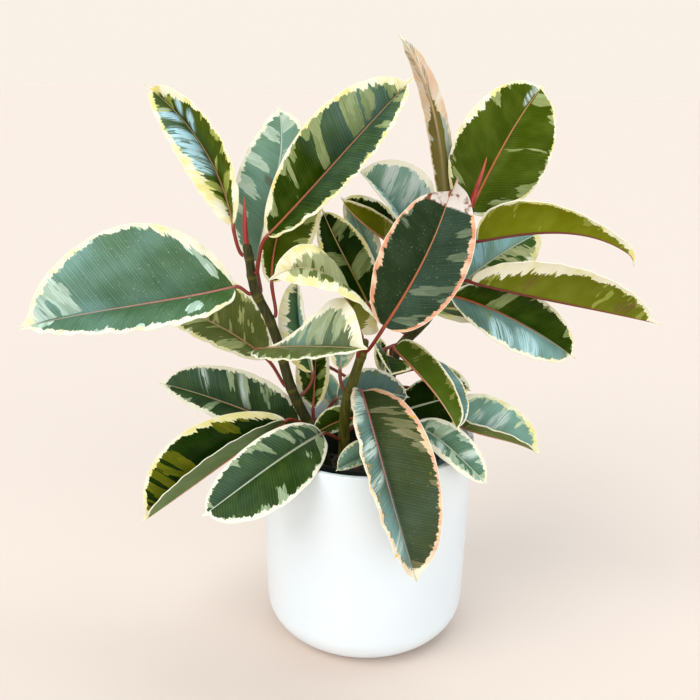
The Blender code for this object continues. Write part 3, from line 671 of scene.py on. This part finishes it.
leaves["leaf_back_2"] = dict(cane="cane_right", node=362,
    spine=[(34, 24, 399), (14, 18, 415), (-10, 9, 434), (-30, -4, 459)], left=(6, -12, 20),
    right=(6, 16, 26), tone="dark", cream=(3, 4), patch=(0.5, 0.3))
leaves["leaf_back_3"] = dict(cane="cane_right", node=336,
    spine=[(6, 32, 384), (-8, 28, 413), (-18, 24, 435), (-29, 18, 455)], left=(-12, -3, -4),
    right=(13, -3, 8), small=True, tone="mist", rib="pale", cream=(3, 4), patch=0.6, paintedSheen=0.6, ivory=0.5)
leaves["leaf_back_4"] = dict(cane="cane_right", node=316,
    spine=[(-3, 2, 354), (-19, 8, 384), (-37, 14, 417), (-50, 20, 444)], left=(-19, -8, -8),
    right=(25, -8, 10), tone="dark", rib="olive", cream=(2.6, 3), pale=(132, 144, 92),
    patches=[(0.5, -0.5, 12, 6), (0.35, 0.45, 18, 12), (0.78, 0.5, 14, 7)])
leaves["leaf_low_right_1"] = dict(cane="cane_right", node=285,
    spine=[(25, -8, 311), (47, -40, 298), (68, -73, 282), (84, -100, 262)], left=(36, 8, -3),
    right=(10, 2, 21), rightShape=(0.35, 0.8), tone="dusk", cream=1.8, patch=0.1, under=(72, 92, 14),
    paintedSheen=0.5, dust=2)
leaves["leaf_low_right_2"] = dict(cane="cane_right", node=262,
    spine=[(69, 4, 251), (104, -6, 224), (142, -18, 218), (174, -30, 209)], left=(10, 26, 32),
    right=(2, -26, 18), tone="mist", drip=2, cream=((11, 10, 4, 4, 5, 8), 4), pale=(214, 222, 176),
    spots=0.7, patch=0.4, paintedSheen=(0.4, 0.2), paintedHighlights=[(0.6, -0.4, 14, 9), (0.4, -0.3, 9, 6)])
leaves["leaf_low_right_3"] = dict(cane="cane_right", node=276,
    spine=[(57, 26, 278), (73, 16, 277), (89, 4, 272), (103, -10, 268)], left=(2, 10, 8),
    right=(-2, -12, -10), small=True, tone="deep", cream=(4, 3), patch=0.4)
leaves["leaf_low_right_4"] = dict(cane="cane_right", node=215,
    spine=[(46, -44, 243), (70, -64, 237), (92, -80, 223), (115, -88, 203)], left=(14, 4, 15),
    right=(-8, -16, -4), tone="fresh", rib="pale", pale=(196, 212, 190), ivory=0.5, cream=3, patch=0.6,
    spots=0.7, paintedSheen=(0.25, 0.3), paintedHighlights=[(0.4, 0.5, 12, 5), (0.65, -0.4, 12, 5)])
leaves["leaf_low_right_5"] = dict(cane="cane_right", node=232,
    spine=[(32, -14, 245), (50, -24, 256), (74, -34, 268), (94, -42, 278)], left=(-4, 10, 22),
    right=(6, -14, -30), tone="dark", rib="pale", cream=2, patch=(0.4, 0.2))
leaves["leaf_low_right_6"] = dict(cane="cane_left", node=214,
    spine=[(-32, 10, 249), (-7, 2, 260), (17, -10, 264), (41, -22, 264)], left=(2, 4, 24),
    right=(0, -10, -20), tone="dusk", rib="pale", ivory=0.5, cream=2.6, patch=0.6, paintedSheen=(0.3, 0.4))
leaves["leaf_low_right_7"] = dict(cane="cane_right", node=306,
    spine=[(13, 2, 303), (16, -14, 302), (19, -32, 300), (22, -52, 299)], left=(28, -24, -4),
    right=(-14, 0, 20), leftShape=(0.9, 1.6), small=True, tone="deep", rib="pale", cream=2.2,
    patch=(0.3, 0.2))
leaves["leaf_low_right_8"] = dict(cane="cane_right", node=258,
    spine=[(14, 28, 272), (13, 36, 283), (12, 44, 293), (11, 52, 303)], left=(-8, 0, 0), right=(8, 0, 0),
    small=True, tone="deep", rib="pale", cream=2.2, patch=0.3)
leaves["leaf_low_left_1"] = dict(cane="cane_left", node=214,
    spine=[(-72, -2, 217), (-121, 4, 233), (-170, 10, 248), (-219, 18, 258)], left=(8, -24, -12),
    right=(-2, 6, 42), leftShape=(0.5, 1.05), rightShape=(0.48, 0.85), tone="deep", rib="tan", ivory=0.6,
    pale=(170, 186, 152), paintedSheen=((0.02, 0.06), (0.04, 0.1, 0.1)),
    cream=((2.4, 2.4, 2.4, 3, 4), (3, 4, 5, 4, 3, 2, 3)),
    patches=[(0.42, 0.6, 26, 5), (0.55, 0.8, 14, 5), (0.3, 0.85, 12, 4), (0.6, -0.5, 10, 4)],
    paintedHighlights=[(0.44, 0.55, 22, 4), (0.72, 0.7, 16, 5)])
leaves["leaf_low_left_2"] = dict(cane="cane_left", node=234,
    spine=[(-83, -24, 237), (-118, -34, 215), (-163, -48, 184), (-222, -66, 143)], left=(-6, -34, 24),
    right=(-30, 9, 37), rightShape=(0.5, 1.2), tone="dark", drip=2.4, pale=(112, 112, 16),
    under=(100, 122, 74), wave=0.5, cream=(2.4, (6, 9, 8, 5, 3, 4, 4, 8)),
    patches=[(0.3, 0.75, 12, 7), (0.66, 0.6, 34, 12), (0.8, 0.5, 40, 14), (0.95, 0.5, 40, 16)],
    holes=[(0.7, 0.8, 16, 3), (0.8, 0.6, 14, 3), (0.9, 0.3, 8, 2)])
leaves["leaf_low_left_3"] = dict(cane="cane_middle", node=222,
    spine=[(-45, -50, 235), (-72, -84, 231), (-112, -114, 211), (-149, -132, 187)], left=(22, -29, -19),
    right=(-16, 4, 23), leftShape=(0.5, 1.16), rightShape=(0.5, 0.95), tone="deep", rib="pale", ivory=0.7,
    pale=(170, 186, 152), paintedSheen=((0.02, 0.02, 0.06), (0.12, 0.07, 0.1)),
    cream=((3, 3, 3, 2.6, 3, 5, 5), (2.4, 3, 2.4, 2.4, 2.4, 4)),
    patches=[(0.25, -0.45, 7, 5), (0.12, -0.8, 14, 5), (0.55, -0.85, 8, 4), (0.7, -0.9, 9, 4),
        (0.3, 0.85, 14, 5), (0.48, 0.85, 10, 4), (0.2, 0.5, 5, 3)])
leaves["leaf_low_left_4"] = dict(cane="cane_left", node=210,
    spine=[(-64, -28, 222), (-76, -35, 224), (-88, -43, 224), (-100, -50, 222)], left=(4, -6, -3),
    right=(-4, 4, 7), small=True, tone="deep", cream=1.2, patch=0.2)
leaves["leaf_front_1"] = dict(cane="cane_middle", node=275,
    spine=[(-7, -46, 279), (5, -92, 257), (21, -128, 214), (48, -142, 131)], left=(48, -6, 8),
    right=(-15, -27, 7), rightShape=(0.5, 0.82), tone="warm", drip=2.6, blush=(0.75, 0.2), rib="rose",
    spots=0.01, dust=0.5, highlightTint=(212, 232, 220), paintedSheen=((0.02, 0.04, 0.07, 0.06), (0.2, 0.3, 0.35, 0.5, 0.4)),
    cream=((5, 6, 6, 5, 4, 3, 2.6, 3, 5, 16), (3, 2.6, 2.4, 2.2, 2.2, 2.6, 3, 5, 16)),
    patches=[(0.18, -0.45, 16, 3.5), (0.27, -0.6, 16, 4), (0.34, -0.75, 12, 4), (0.4, -0.85, 8, 5),
        (0.84, -0.8, 6, 2.5), (0.92, -0.2, 14, 6)],
    paintedHighlights=[(0.12, 0.6, 14, 14), (0.22, 0.8, 8, 8), (0.36, 0.5, 14, 9), (0.5, 0.6, 14, 5),
        (0.76, 0.5, 14, 8)])
leaves["leaf_inner_1"] = dict(cane="cane_middle", node=205,
    spine=[(11, -62, 224), (-3, -72, 222), (-16, -82, 220), (-29, -92, 216)], left=(2, -6, -4),
    right=(2, 8, 18), small=True, tone="mist", rib="pale", cream=1.2, paintedSheen=0.3)
leaves["leaf_inner_2"] = dict(cane="cane_middle", node=226,
    spine=[(-10, -10, 236), (-27, -14, 234), (-41, -18, 229), (-55, -24, 222)], left=(0, -8, -8),
    right=(0, 8, 16), small=True, tone="deep", cream=1.4, patch=0.2)
leaves["leaf_inner_3"] = dict(cane="cane_right", node=244,
    spine=[(-53, 38, 268), (-47, 32, 257), (-40, 24, 245), (-34, 18, 234)], left=(14, -4, 3),
    right=(-10, -4, 0), small=True, tone="mist", rib="pale", cream=1.4, paintedSheen=0.6)

leafShape = {
    "bladeEnd": 0.955, "dripStart": 0.88, "dripWidth": 0.13, "widest": 0.48, "thickness": 0.8,
    "stalkRadius": 2.0, "stalkSteps": 10, "stalkSides": 12,
    "ribRadius": 1.15, "ribEnd": 0.97, "ribLine": 1.1, "largeRibSteps": 44, "smallRibSteps": 26,
    "channel": 0.35, "channelWidth": 1.6, "wave": 0.7, "waveLength": 26,
    "veinSlope": 0.5, "veinStep": 2.8, "ridge": 0.10, "ridgeStep": 5.2,
    "largeGrid": (110, 44), "smallGrid": (56, 24),
}

# among these, the highlight colour and its patches are painted highlights, and the sheen share is a painted
# sky reflection
usualLeaf = dict(
    leftShape=(0.52, 0.94), rightShape=(0.52, 0.94), bulge=4, twist=0, curl=0, curlFrom=0.9, wave=1,
    drip=1.3, petal=(0, 0, 0), small=False, tone="fresh", rib="salmon", pale=None, under=None,
    highlightTint=(212, 230, 222), cream=2.5, patch=0, paintedSheen=0, blush=0, ivory=0, spots=0, dust=0, burnt=0,
    patches=[], holes=[], browns=[], paintedHighlights=[])

greens = screenColours({  # centre, its lighter veins and the pale patches
    "deep": ((36, 56, 0), (84, 108, 30), (144, 158, 92)),
    "dark": ((14, 38, 0), (54, 76, 8), (110, 112, 30)),
    "olive": ((60, 76, 0), (106, 124, 38), (168, 176, 110)),
    "sage": ((90, 100, 44), (132, 144, 90), (178, 184, 132)),
    "warm": ((50, 58, 10), (84, 90, 36), (138, 134, 100)),
    "fresh": ((58, 88, 26), (104, 136, 76), (158, 176, 124)),
    "mist": ((96, 128, 94), (142, 172, 144), (186, 208, 182)),
    "dusk": ((34, 50, 24), (64, 84, 60), (124, 134, 104)),
})

undersides = screenColours({
    "deep": ((92, 98, 0), (130, 132, 40), (156, 158, 74)),
    "fresh": ((98, 108, 0), (136, 142, 44), (164, 170, 80)),
    "mist": ((104, 120, 60), (136, 150, 92), (170, 182, 128)),
    "dusk": ((96, 96, 20), (126, 124, 54), (156, 154, 88)),
})

ribs = screenColours({  # foot of the stalk, foot of the midrib and its end
    "salmon": ((138, 40, 24), (196, 116, 84), (206, 166, 122)),
    "orange": ((140, 44, 20), (182, 92, 46), (192, 142, 92)),
    "tan": ((138, 42, 24), (190, 146, 104), (206, 190, 146)),
    "rose": ((146, 60, 54), (204, 134, 122), (206, 176, 160)),
    "pale": ((134, 62, 42), (190, 196, 166), (212, 222, 202)),
    "wine": ((122, 26, 16), (106, 32, 16), (128, 66, 34)),
    "olive": ((132, 44, 20), (126, 112, 44), (220, 190, 144)),
})

plainCream = screenColour(240, 228, 150)
lightCream = screenColour(252, 248, 224)
peachCream = screenColour(246, 216, 174)
blushTint = screenColour(228, 152, 116)
# the colour of the painted sky sheen, a reflection painted into the leaves
skySheenTint = screenColour(160, 206, 204)
brownTint = screenColour(104, 78, 46)
spotTint = screenColour(238, 186, 40)
dustTint = screenColour(196, 206, 190)
flapTint = screenColour(228, 220, 212)
flapUnderTint = screenColour(212, 204, 194)
scorchTint = screenColour(132, 80, 50)


def leafValues(name):
    leaf = {**usualLeaf, **leaves[name]}
    for key in ("cream", "patch", "paintedSheen", "blush"):  # one number stands for both halves
        if not isinstance(leaf[key], tuple):
            leaf[key] = (leaf[key], leaf[key])
    for key in ("pale", "under", "highlightTint"):
        leaf[key] = leaf[key] and screenColour(*leaf[key])
    return leaf


def midribPlaces(spine, shares):  # on the cubic through the four points of the midrib
    points = np.array(spine, float)
    lengths = np.linalg.norm(np.diff(points, axis=0), axis=1)
    marks = np.concatenate([[0], np.cumsum(lengths)]) / lengths.sum()
    places = np.zeros((len(shares), 3))
    for index, point in enumerate(points):
        weight = np.ones(len(shares))
        for other, mark in enumerate(marks):
            if other != index:
                weight = weight * (shares - mark) / (marks[index] - mark)
        places += weight[:, None] * point
    return places


def midribDirections(spine, shares):
    ahead = midribPlaces(spine, np.minimum(shares + 0.01, 1))
    return unit(ahead - midribPlaces(spine, np.maximum(shares - 0.01, 0)))


def midribLength(spine):
    steps = np.diff(midribPlaces(spine, np.linspace(0, 1, 60)), axis=0)
    return np.linalg.norm(steps, axis=1).sum()


def halfWidth(shares, fullness, skew, drip):
    body = np.sin(math.pi * np.minimum(1, shares / leafShape["bladeEnd"]) ** skew).clip(0) ** fullness
    tip = drip * leafShape["dripWidth"] * (1 - shares) / (1 - leafShape["dripStart"])
    tip = tip * np.minimum(1, shares / 0.9) ** 4
    return (body ** 3 + tip ** 3) ** (1 / 3)


def leafHalves(leaf):  # the upper face's normal, and each half's way out, along the side and the normal
    along = midribDirections(leaf["spine"], np.array([leafShape["widest"]]))[0]
    left, right = (np.array(leaf[key], float) for key in ("left", "right"))
    left = left - left @ along * along
    right = right - right @ along * along
    side = unit(right - left)
    normal = np.cross(side, along)
    return normal, (left @ side, left @ normal), (right @ side, right @ normal)


def turnTogether(first, second, angle):
    return (np.cos(angle) * first + np.sin(angle) * second, np.cos(angle) * second - np.sin(angle) * first)


def leafFrames(leaf, shares):  # places, directions, upper face's normals and sides along the midrib
    straight = np.minimum(shares, leaf["curlFrom"]) if leaf["curl"] else shares
    places = midribPlaces(leaf["spine"], straight)
    along = midribDirections(leaf["spine"], straight)
    widest = leafHalves(leaf)[0]
    normal = unit(widest - (along @ widest)[:, None] * along)
    turn = (math.radians(leaf["twist"]) * (straight - leafShape["widest"]))[:, None]
    normal, side = turnTogether(normal, np.cross(along, normal), turn)
    if leaf["curl"]:
        rolled = ((shares - straight) / (1 - leaf["curlFrom"]))[:, None]
        angle = math.radians(leaf["curl"]) * rolled
        reach = np.linalg.norm(np.array(leaf["spine"][-1]) - places, axis=1)[:, None] * rolled
        safe = np.where(np.abs(angle) < 1e-6, 1e-6, angle)
        places = places + reach / safe * (np.sin(safe) * along + (1 - np.cos(safe)) * normal)
        along, normal = turnTogether(along, normal, angle)
    return places, along, normal, side


def alongLeaf(values, share):  # from the foot to the tip, at even steps
    values = np.atleast_1d(values)
    return np.interp(share, np.linspace(0, 1, len(values)), values)


def patchReach(leaf, patches, length, alongMm, acrossMm):  # how far inside a patch each place lies, in mm
    far = -30.0
    vein = alongMm - leafShape["veinSlope"] * np.abs(acrossMm)
    reach = np.full(len(alongMm), far)
    for share, out, long, broad in patches:
        half = leafHalves(leaf)[1 if out < 0 else 2]
        shape = leaf["leftShape" if out < 0 else "rightShape"]
        middle = abs(out) * math.hypot(*half) * halfWidth(share, *shape, 1)
        middleVein = share * length - leafShape["veinSlope"] * middle
        away = np.hypot((vein - middleVein) / broad, (np.abs(acrossMm) - middle) / long)
        reach = np.maximum(reach, np.where(acrossMm * out > 0, (1 - away) * broad, far))
    return reach


def flatBlade(small):  # a flat grid, finer at its ends and edges, with its shares along and across
    selectOnly()
    counts = leafShape["smallGrid" if small else "largeGrid"]
    bpy.ops.mesh.primitive_grid_add(x_subdivisions=counts[0], y_subdivisions=counts[1], size=1)
    flat = meshPlaces(bpy.context.object.data)
    even = flat[:, 0] + 0.5
    share = 0.003 + 0.996 * (0.45 * even + 0.55 * (0.5 - 0.5 * np.cos(math.pi * even)))
    out = np.abs(flat[:, 1]) * 2
    out = 0.75 * out + 0.25 * np.sin(out * math.pi / 2)
    return bpy.context.object, share, out, flat[:, 1] > 0


def leafBlade(leaf, number):  # the flat grid is laid over the leaf's own form
    piece, share, out, isLeft = flatBlade(leaf["small"])
    across = np.where(isLeft, -out, out)
    places, along, normal, side = leafFrames(leaf, share)
    _, left, right = leafHalves(leaf)
    sideways = np.where(isLeft, left[0], right[0])
    upward = np.where(isLeft, left[1], right[1])
    widths = (halfWidth(share, *leaf[key], leaf["drip"]) for key in ("leftShape", "rightShape"))
    width = np.where(isLeft, *widths)
    outward = unit(sideways[:, None] * side + upward[:, None] * normal)
    face = unit(np.where(isLeft[:, None], np.cross(along, outward), np.cross(outward, along)))
    blend = np.minimum(1, out * 5)[:, None]
    face = unit(face * blend + normal * (1 - blend))

    length = midribLength(leaf["spine"])
    reach = np.hypot(sideways, upward) * width
    alongMm = share * length
    acrossMm = reach * across
    marginMm = np.minimum(reach * (1 - out), (1 - share) * length * 0.6)

    turns = alongMm / leafShape["waveLength"] * 2 * math.pi
    phase = 6.28 * (number * 0.618 % 1)
    ripple = np.sin(turns + phase + isLeft * 2.1) + 0.5 * np.sin(turns * 1.9 + phase * 1.7)
    wave = leafShape["wave"] * leaf["wave"] * length / 150
    vein = alongMm - leafShape["veinSlope"] * np.abs(acrossMm)
    ridges = leafShape["ridge"] * np.sin(vein / leafShape["ridgeStep"] * 2 * math.pi)
    lift = leaf["bulge"] * 4 * out * (1 - out) * width ** 2
    lift += wave * ripple * out ** 3 * np.minimum(1, reach / 12)
    lift += ridges * np.minimum(1, np.abs(acrossMm) / 6) * (1 - out ** 4)
    lift -= leafShape["channel"] * hump(acrossMm, 0, leafShape["channelWidth"]) * (1 - share)
    places = places + reach[:, None] * out[:, None] * outward + lift[:, None] * face
    petal = smoothStep(share, 0.86, 0.97) * smoothStep(across, 0, 0.7)
    setMeshPlaces(piece.data, (places + petal[:, None] * np.array(leaf["petal"])) * mm)

    cream, paintedSheen = (np.where(isLeft, *(alongLeaf(half, share) for half in leaf[key]))
                   for key in ("cream", "paintedSheen"))
    patch, hole, brown, paintedHighlight = (patchReach(leaf, leaf[key], length, alongMm, acrossMm)
                                 for key in ("patches", "holes", "browns", "paintedHighlights"))
    patch = np.minimum(patch, -4 * hole)
    setPointValues(piece.data, "leafMm", np.stack([alongMm, acrossMm, marginMm], axis=1))
    setPointValues(piece.data, "leafLook", np.stack([cream, patch, brown], axis=1))
    # the share along, the strength of the painted sky sheen and the reach of the painted highlights
    setPointValues(piece.data, "leafShareSheenHighlight", np.stack([share, paintedSheen, paintedHighlight], axis=1))
    return piece


def curvePlaces(handles, shares):
    t = shares[:, None]
    a, b, c, d = handles
    return a * (1 - t) ** 3 + 3 * b * t * (1 - t) ** 2 + 3 * c * t ** 2 * (1 - t) + d * t ** 3


def onCane(name, height):
    route = smoothRoute(canes[name], caneLook["stepsPerSpan"])
    radii = caneRadii(route)
    for index in range(len(route) - 1):
        start, end = route[index], route[index + 1]
        if start[2] <= height <= end[2]:
            share = (height - start[2]) / (end[2] - start[2])
            radius = radii[index] + (radii[index + 1] - radii[index]) * share
            return start + (end - start) * share, unit(end - start), radius


def leafStalk(name, leaf):  # the stalk and, past the foot of the blade, the midrib under it
    centre, caneAlong, radius = onCane(leaf["cane"], leaf["node"])
    count = leafShape["smallRibSteps" if leaf["small"] else "largeRibSteps"]
    shares = np.linspace(0, leafShape["ribEnd"], count)
    places, along, normal, side = leafFrames(leaf, shares)
    foot = places[0]
    outward = foot - centre
    outward = unit(outward - outward @ caneAlong * caneAlong)
    start = centre + outward * (radius + gap)
    length = np.linalg.norm(foot - start)
    handles = (start, start + outward * min(0.2 * length, 5), foot - along[0] * 0.4 * length, foot)
    steps = np.arange(leafShape["stalkSteps"]) / leafShape["stalkSteps"]
    stalkRadii = leafShape["stalkRadius"] * (1 - 0.12 * np.sin(math.pi * steps))
    stalkRadii[0] *= 1.1
    ribRadii = leafShape["ribRadius"] * (1 - shares) ** 0.6 * (0.7 if leaf["small"] else 1) + 0.25
    settle = smoothStep(shares, 0, 0.06)
    ribRadii = ribRadii * settle + leafShape["stalkRadius"] * 0.95 * (1 - settle)
    rib = places - normal * (ribRadii * (0.25 + 0.45 * settle) + leafShape["channel"] * 0.5)[:, None]
    route = np.concatenate([curvePlaces(handles, steps), rib])
    share = np.concatenate([steps * 0.5, 0.5 + 0.5 * shares])
    radii = np.concatenate([stalkRadii, ribRadii])
    return tubeAlong(name + "Stalk", route, radii, leafShape["stalkSides"], "stalkShare", share)


def leafPattern(skin, leaf, number):  # where the cream, the pale patches and the veins lie on a blade
    along, across, margin = skin.fields("leafMm")
    creamMm, patchMm, brownMm = skin.fields("leafLook")
    share, paintedSheen, paintedHighlight = skin.fields("leafShareSheenHighlight")
    noise = skin.noise
    right = across.step(-0.01, 0.01)
    out = across.size()
    vein = along - out * leafShape["veinSlope"]
    seed = number * 3.7
    sideSeed = right * 11.3 + seed
    slow = noise(vein * 0.09, sideSeed, 0.0, 1.0)
    teeth = noise(vein * 0.26, out * 0.04, sideSeed, 4.0, 0.66)
    streak = noise(vein * 1.1, out * 0.02, seed, 3.0, 0.6)
    turn = vein * (2 * math.pi / leafShape["veinStep"]) + (slow - 0.5) * 5
    edge = margin - creamMm * (slow * 1.4 + 0.35) - (teeth - 0.5) * (creamMm * 1.6 + 5.0)
    band = noise(vein * 0.11, sideSeed + 50.0, 0.0, 1.5)
    bandMm = creamMm * 0.8 + (band - 0.5) * 34.0 - margin
    broad = noise(vein * 0.09, out * 0.03, sideSeed + 31.0)
    leftPatch, rightPatch = leaf["patch"]
    amount = (right * (rightPatch - leftPatch) + leftPatch) * 0.3 + margin.step(16.0, 2.0) * 0.06
    wideMm = (broad + amount - 0.76) * 60.0
    otherTeeth = noise(vein * 0.3, out * 0.045, sideSeed + 20.0, 3.0, 0.62)
    inside = (patchMm + (broad - 0.5) * 18.0).most(bandMm).most(wideMm) + (otherTeeth - 0.5) * 11.0
    return SimpleNamespace(
        share=share, paintedSheen=paintedSheen, paintedHighlight=paintedHighlight, margin=margin, right=right, out=out,
        slow=slow, teeth=teeth, streak=streak, turn=turn,
        cream=edge.step(0.3, -0.3),
        patch=inside.step(-0.35, 0.35),
        vein=turn.math("SINE").step(0.62, 1.0) * streak.step(0.25, 0.65) * 1.3,
        tide=noise(vein * 0.05, out * 0.04, sideSeed + 9.0, 2.0, 0.6),
        sheenNoise=noise(along * 0.02, out * 0.03, sideSeed + 60.0, 1.0),
        shade=noise(vein * 0.14, out * 0.05, sideSeed + 70.0).step(0.46, 0.53),
        brown=(brownMm + (teeth - 0.5) * 8).step(-0.5, 0.8))


def creamColour(skin, leaf, pattern):
    soft = (pattern.streak * 0.5 + pattern.tide + leaf["ivory"] * 0.4).step(0.6, 0.9)
    if leaf["blush"] == (0, 0):
        return mixColour(skin.tree, soft, plainCream, lightCream)
    left, right = leaf["blush"]
    cream = mixColour(skin.tree, soft.most(pattern.share.step(0.86, 0.95)), peachCream, lightCream)
    paler = (pattern.slow + pattern.teeth * 0.6).step(0.7, 0.95) * -0.6 + 1.0
    flushed = paler * pattern.share.step(0.94, 0.84) * (pattern.right * (right - left) + left)
    return mixColour(skin.tree, flushed, cream, blushTint)


def paintMargin(skin, leaf, pattern, cream, edge):
    skin.paint(pattern.cream * cream, creamColour(skin, leaf, pattern))
    skin.paint(pattern.margin.step(0.75, 0.3) * edge, lightCream)


def upperSkin(name, leaf, number):
    centre, lighter, pale = greens[leaf["tone"]]
    pale = leaf["pale"] or pale
    coat = {"Coat Weight": 0.03, "Coat Roughness": 0.1, "Specular IOR Level": 0.03}
    skin = Skin(name + "Upper", centre, 0.3, coat)
    pattern = leafPattern(skin, leaf, number)
    share, streak = pattern.share, pattern.streak
    between = tuple(0.6 * first + 0.4 * second for first, second in zip(lighter, pale))
    spotted = mixColour(skin.tree, pattern.shade * 0.6, pale, between)
    spotted = mixColour(skin.tree, streak.step(0.35, 0.7) * 0.3, spotted, lighter)
    skin.paint(pattern.tide.step(0.35, 0.75) * 0.35, lighter)
    skin.paint(pattern.patch, spotted)
    skin.paint(pattern.vein * 0.3, lighter)
    # painted sky sheen: a pale bluish reflection of the sky painted into the colour, broken by noise and
    # veins
    if leaf["paintedSheen"] != (0, 0):
        sheenShare = (pattern.sheenNoise + streak * 0.4).step(0.45, 0.95) * 0.8 + 0.4
        skin.paint((sheenShare + pattern.vein * 0.3) * pattern.paintedSheen * (pattern.patch * -0.7 + 1.0), skySheenTint)
    # painted highlights: pale streaks painted into the colour where glossy reflections of light fall
    if leaf["paintedHighlights"]:
        brokenHighlight = (streak + (pattern.shade - 0.5) * 0.14).step(0.36, 0.52)
        skin.paint(pattern.paintedHighlight.step(-2.5, 4.0) * brokenHighlight * 0.85, leaf["highlightTint"])
    paintMargin(skin, leaf, pattern, 1.0, 0.8)
    if leaf["spots"]:
        spot = skin.grain(150, 150, 1.0).step(0.66, 0.7) * pattern.margin.step(9.0, 2.0)
        skin.paint(spot * share.step(leaf["spots"], leaf["spots"] + 0.1) * 0.9, spotTint)
    if leaf["browns"]:
        skin.paint(pattern.brown * streak.step(0.3, 0.65) * 0.7, brownTint)
    if leaf["dust"]:
        speck = (skin.grain(900, 900, 0.0) + pattern.tide * 0.1).step(0.83, 0.87)
        skin.paint(speck * (0.4 * leaf["dust"]), dustTint)
    if leaf["burnt"]:
        scorch = (skin.grain(110, 110, 3.0) - pattern.right * 0.12).step(0.45, 0.57)
        flap = mixColour(skin.tree, scorch, flapTint, scorchTint)
        skin.paint((share + (pattern.teeth - 0.5) * 0.05).step(0.85, 0.865), flap)
    _, middle, end = ribs[leaf["rib"]]
    ribLine = leafShape["ribLine"]
    rib = (pattern.out + share * ribLine).step(ribLine + 0.5, ribLine)
    skin.paint(rib * 0.9, mixColour(skin.tree, share.step(0.1, 0.9), middle, end))
    skin.link(streak * 0.16 + 0.2, "Roughness")
    return skin.finish(pattern.turn.math("SINE") * 0.14 + streak * 0.4, 0.35)


def lowerSkin(name, leaf, number):
    centre, lighter, pale = undersides.get(leaf["tone"], undersides["deep"])
    if leaf["under"]:
        centre = leaf["under"]
        lighter = tuple(1.35 * part + 0.02 for part in centre)
        pale = leaf["pale"] or pale
    skin = Skin(name + "Lower", centre, 0.5, {"Specular IOR Level": 0.06})
    pattern = leafPattern(skin, leaf, number)
    skin.paint(pattern.tide.step(0.35, 0.75) * 0.5, lighter)
    skin.paint(pattern.vein * 0.25, lighter)
    skin.paint(pattern.patch * 0.6, pale)
    paintMargin(skin, leaf, pattern, 0.9, 0.7)
    if leaf["browns"]:
        skin.paint(pattern.brown * pattern.streak.step(0.38, 0.55) * 0.6, brownTint)
    if leaf["burnt"]:
        skin.paint(pattern.share.step(0.84, 0.86), flapUnderTint)
    return skin.finish(pattern.vein * -0.3 + pattern.streak * 0.3, 0.35)


def stalkSkin(kind):
    foot, middle, end = ribs[kind]
    skin = Skin(kind + "Rib", foot, 0.38)
    share = skin.field("stalkShare")
    streak = skin.grain(500, 120, 3)
    skin.paint(share.step(0.44, 0.60), middle)
    skin.paint(share.step(0.6, 1.0), end)
    skin.paint(streak.step(0.5, 0.8) * 0.3, foot)
    return skin.finish(streak, 0.2)


def makeLeaf(name, number, stalkSkins):
    leaf = leafValues(name)
    blade = leafBlade(leaf, number)
    blade.data.materials.append(upperSkin(name, leaf, number))
    blade.data.materials.append(lowerSkin(name, leaf, number))
    thick = blade.modifiers.new("thickness", "SOLIDIFY")
    thick.thickness = leafShape["thickness"] * mm
    thick.offset = -1
    thick.use_quality_normals = True
    thick.material_offset = 1
    selectOnly(blade)
    bpy.ops.object.modifier_apply(modifier=thick.name)
    stalk = leafStalk(name, leaf)
    stalk.data.materials.append(stalkSkins[leaf["rib"]])
    piece = joinPieces([blade, stalk], name + "Blade")
    finishPiece(piece, name, "leaf_grey" if leaf["tone"] == "mist" else "leaf_green", smoothTo=60)


for name in canes:
    makeCane(name)
skin = sheathSkin()
for name in sheaths:
    makeSheath(name, skin)
print("canes ready")
stalkSkins = {kind: stalkSkin(kind) for kind in ribs}
for number, name in enumerate(leaves):
    makeLeaf(name, number, stalkSkins)
print("leaves ready")
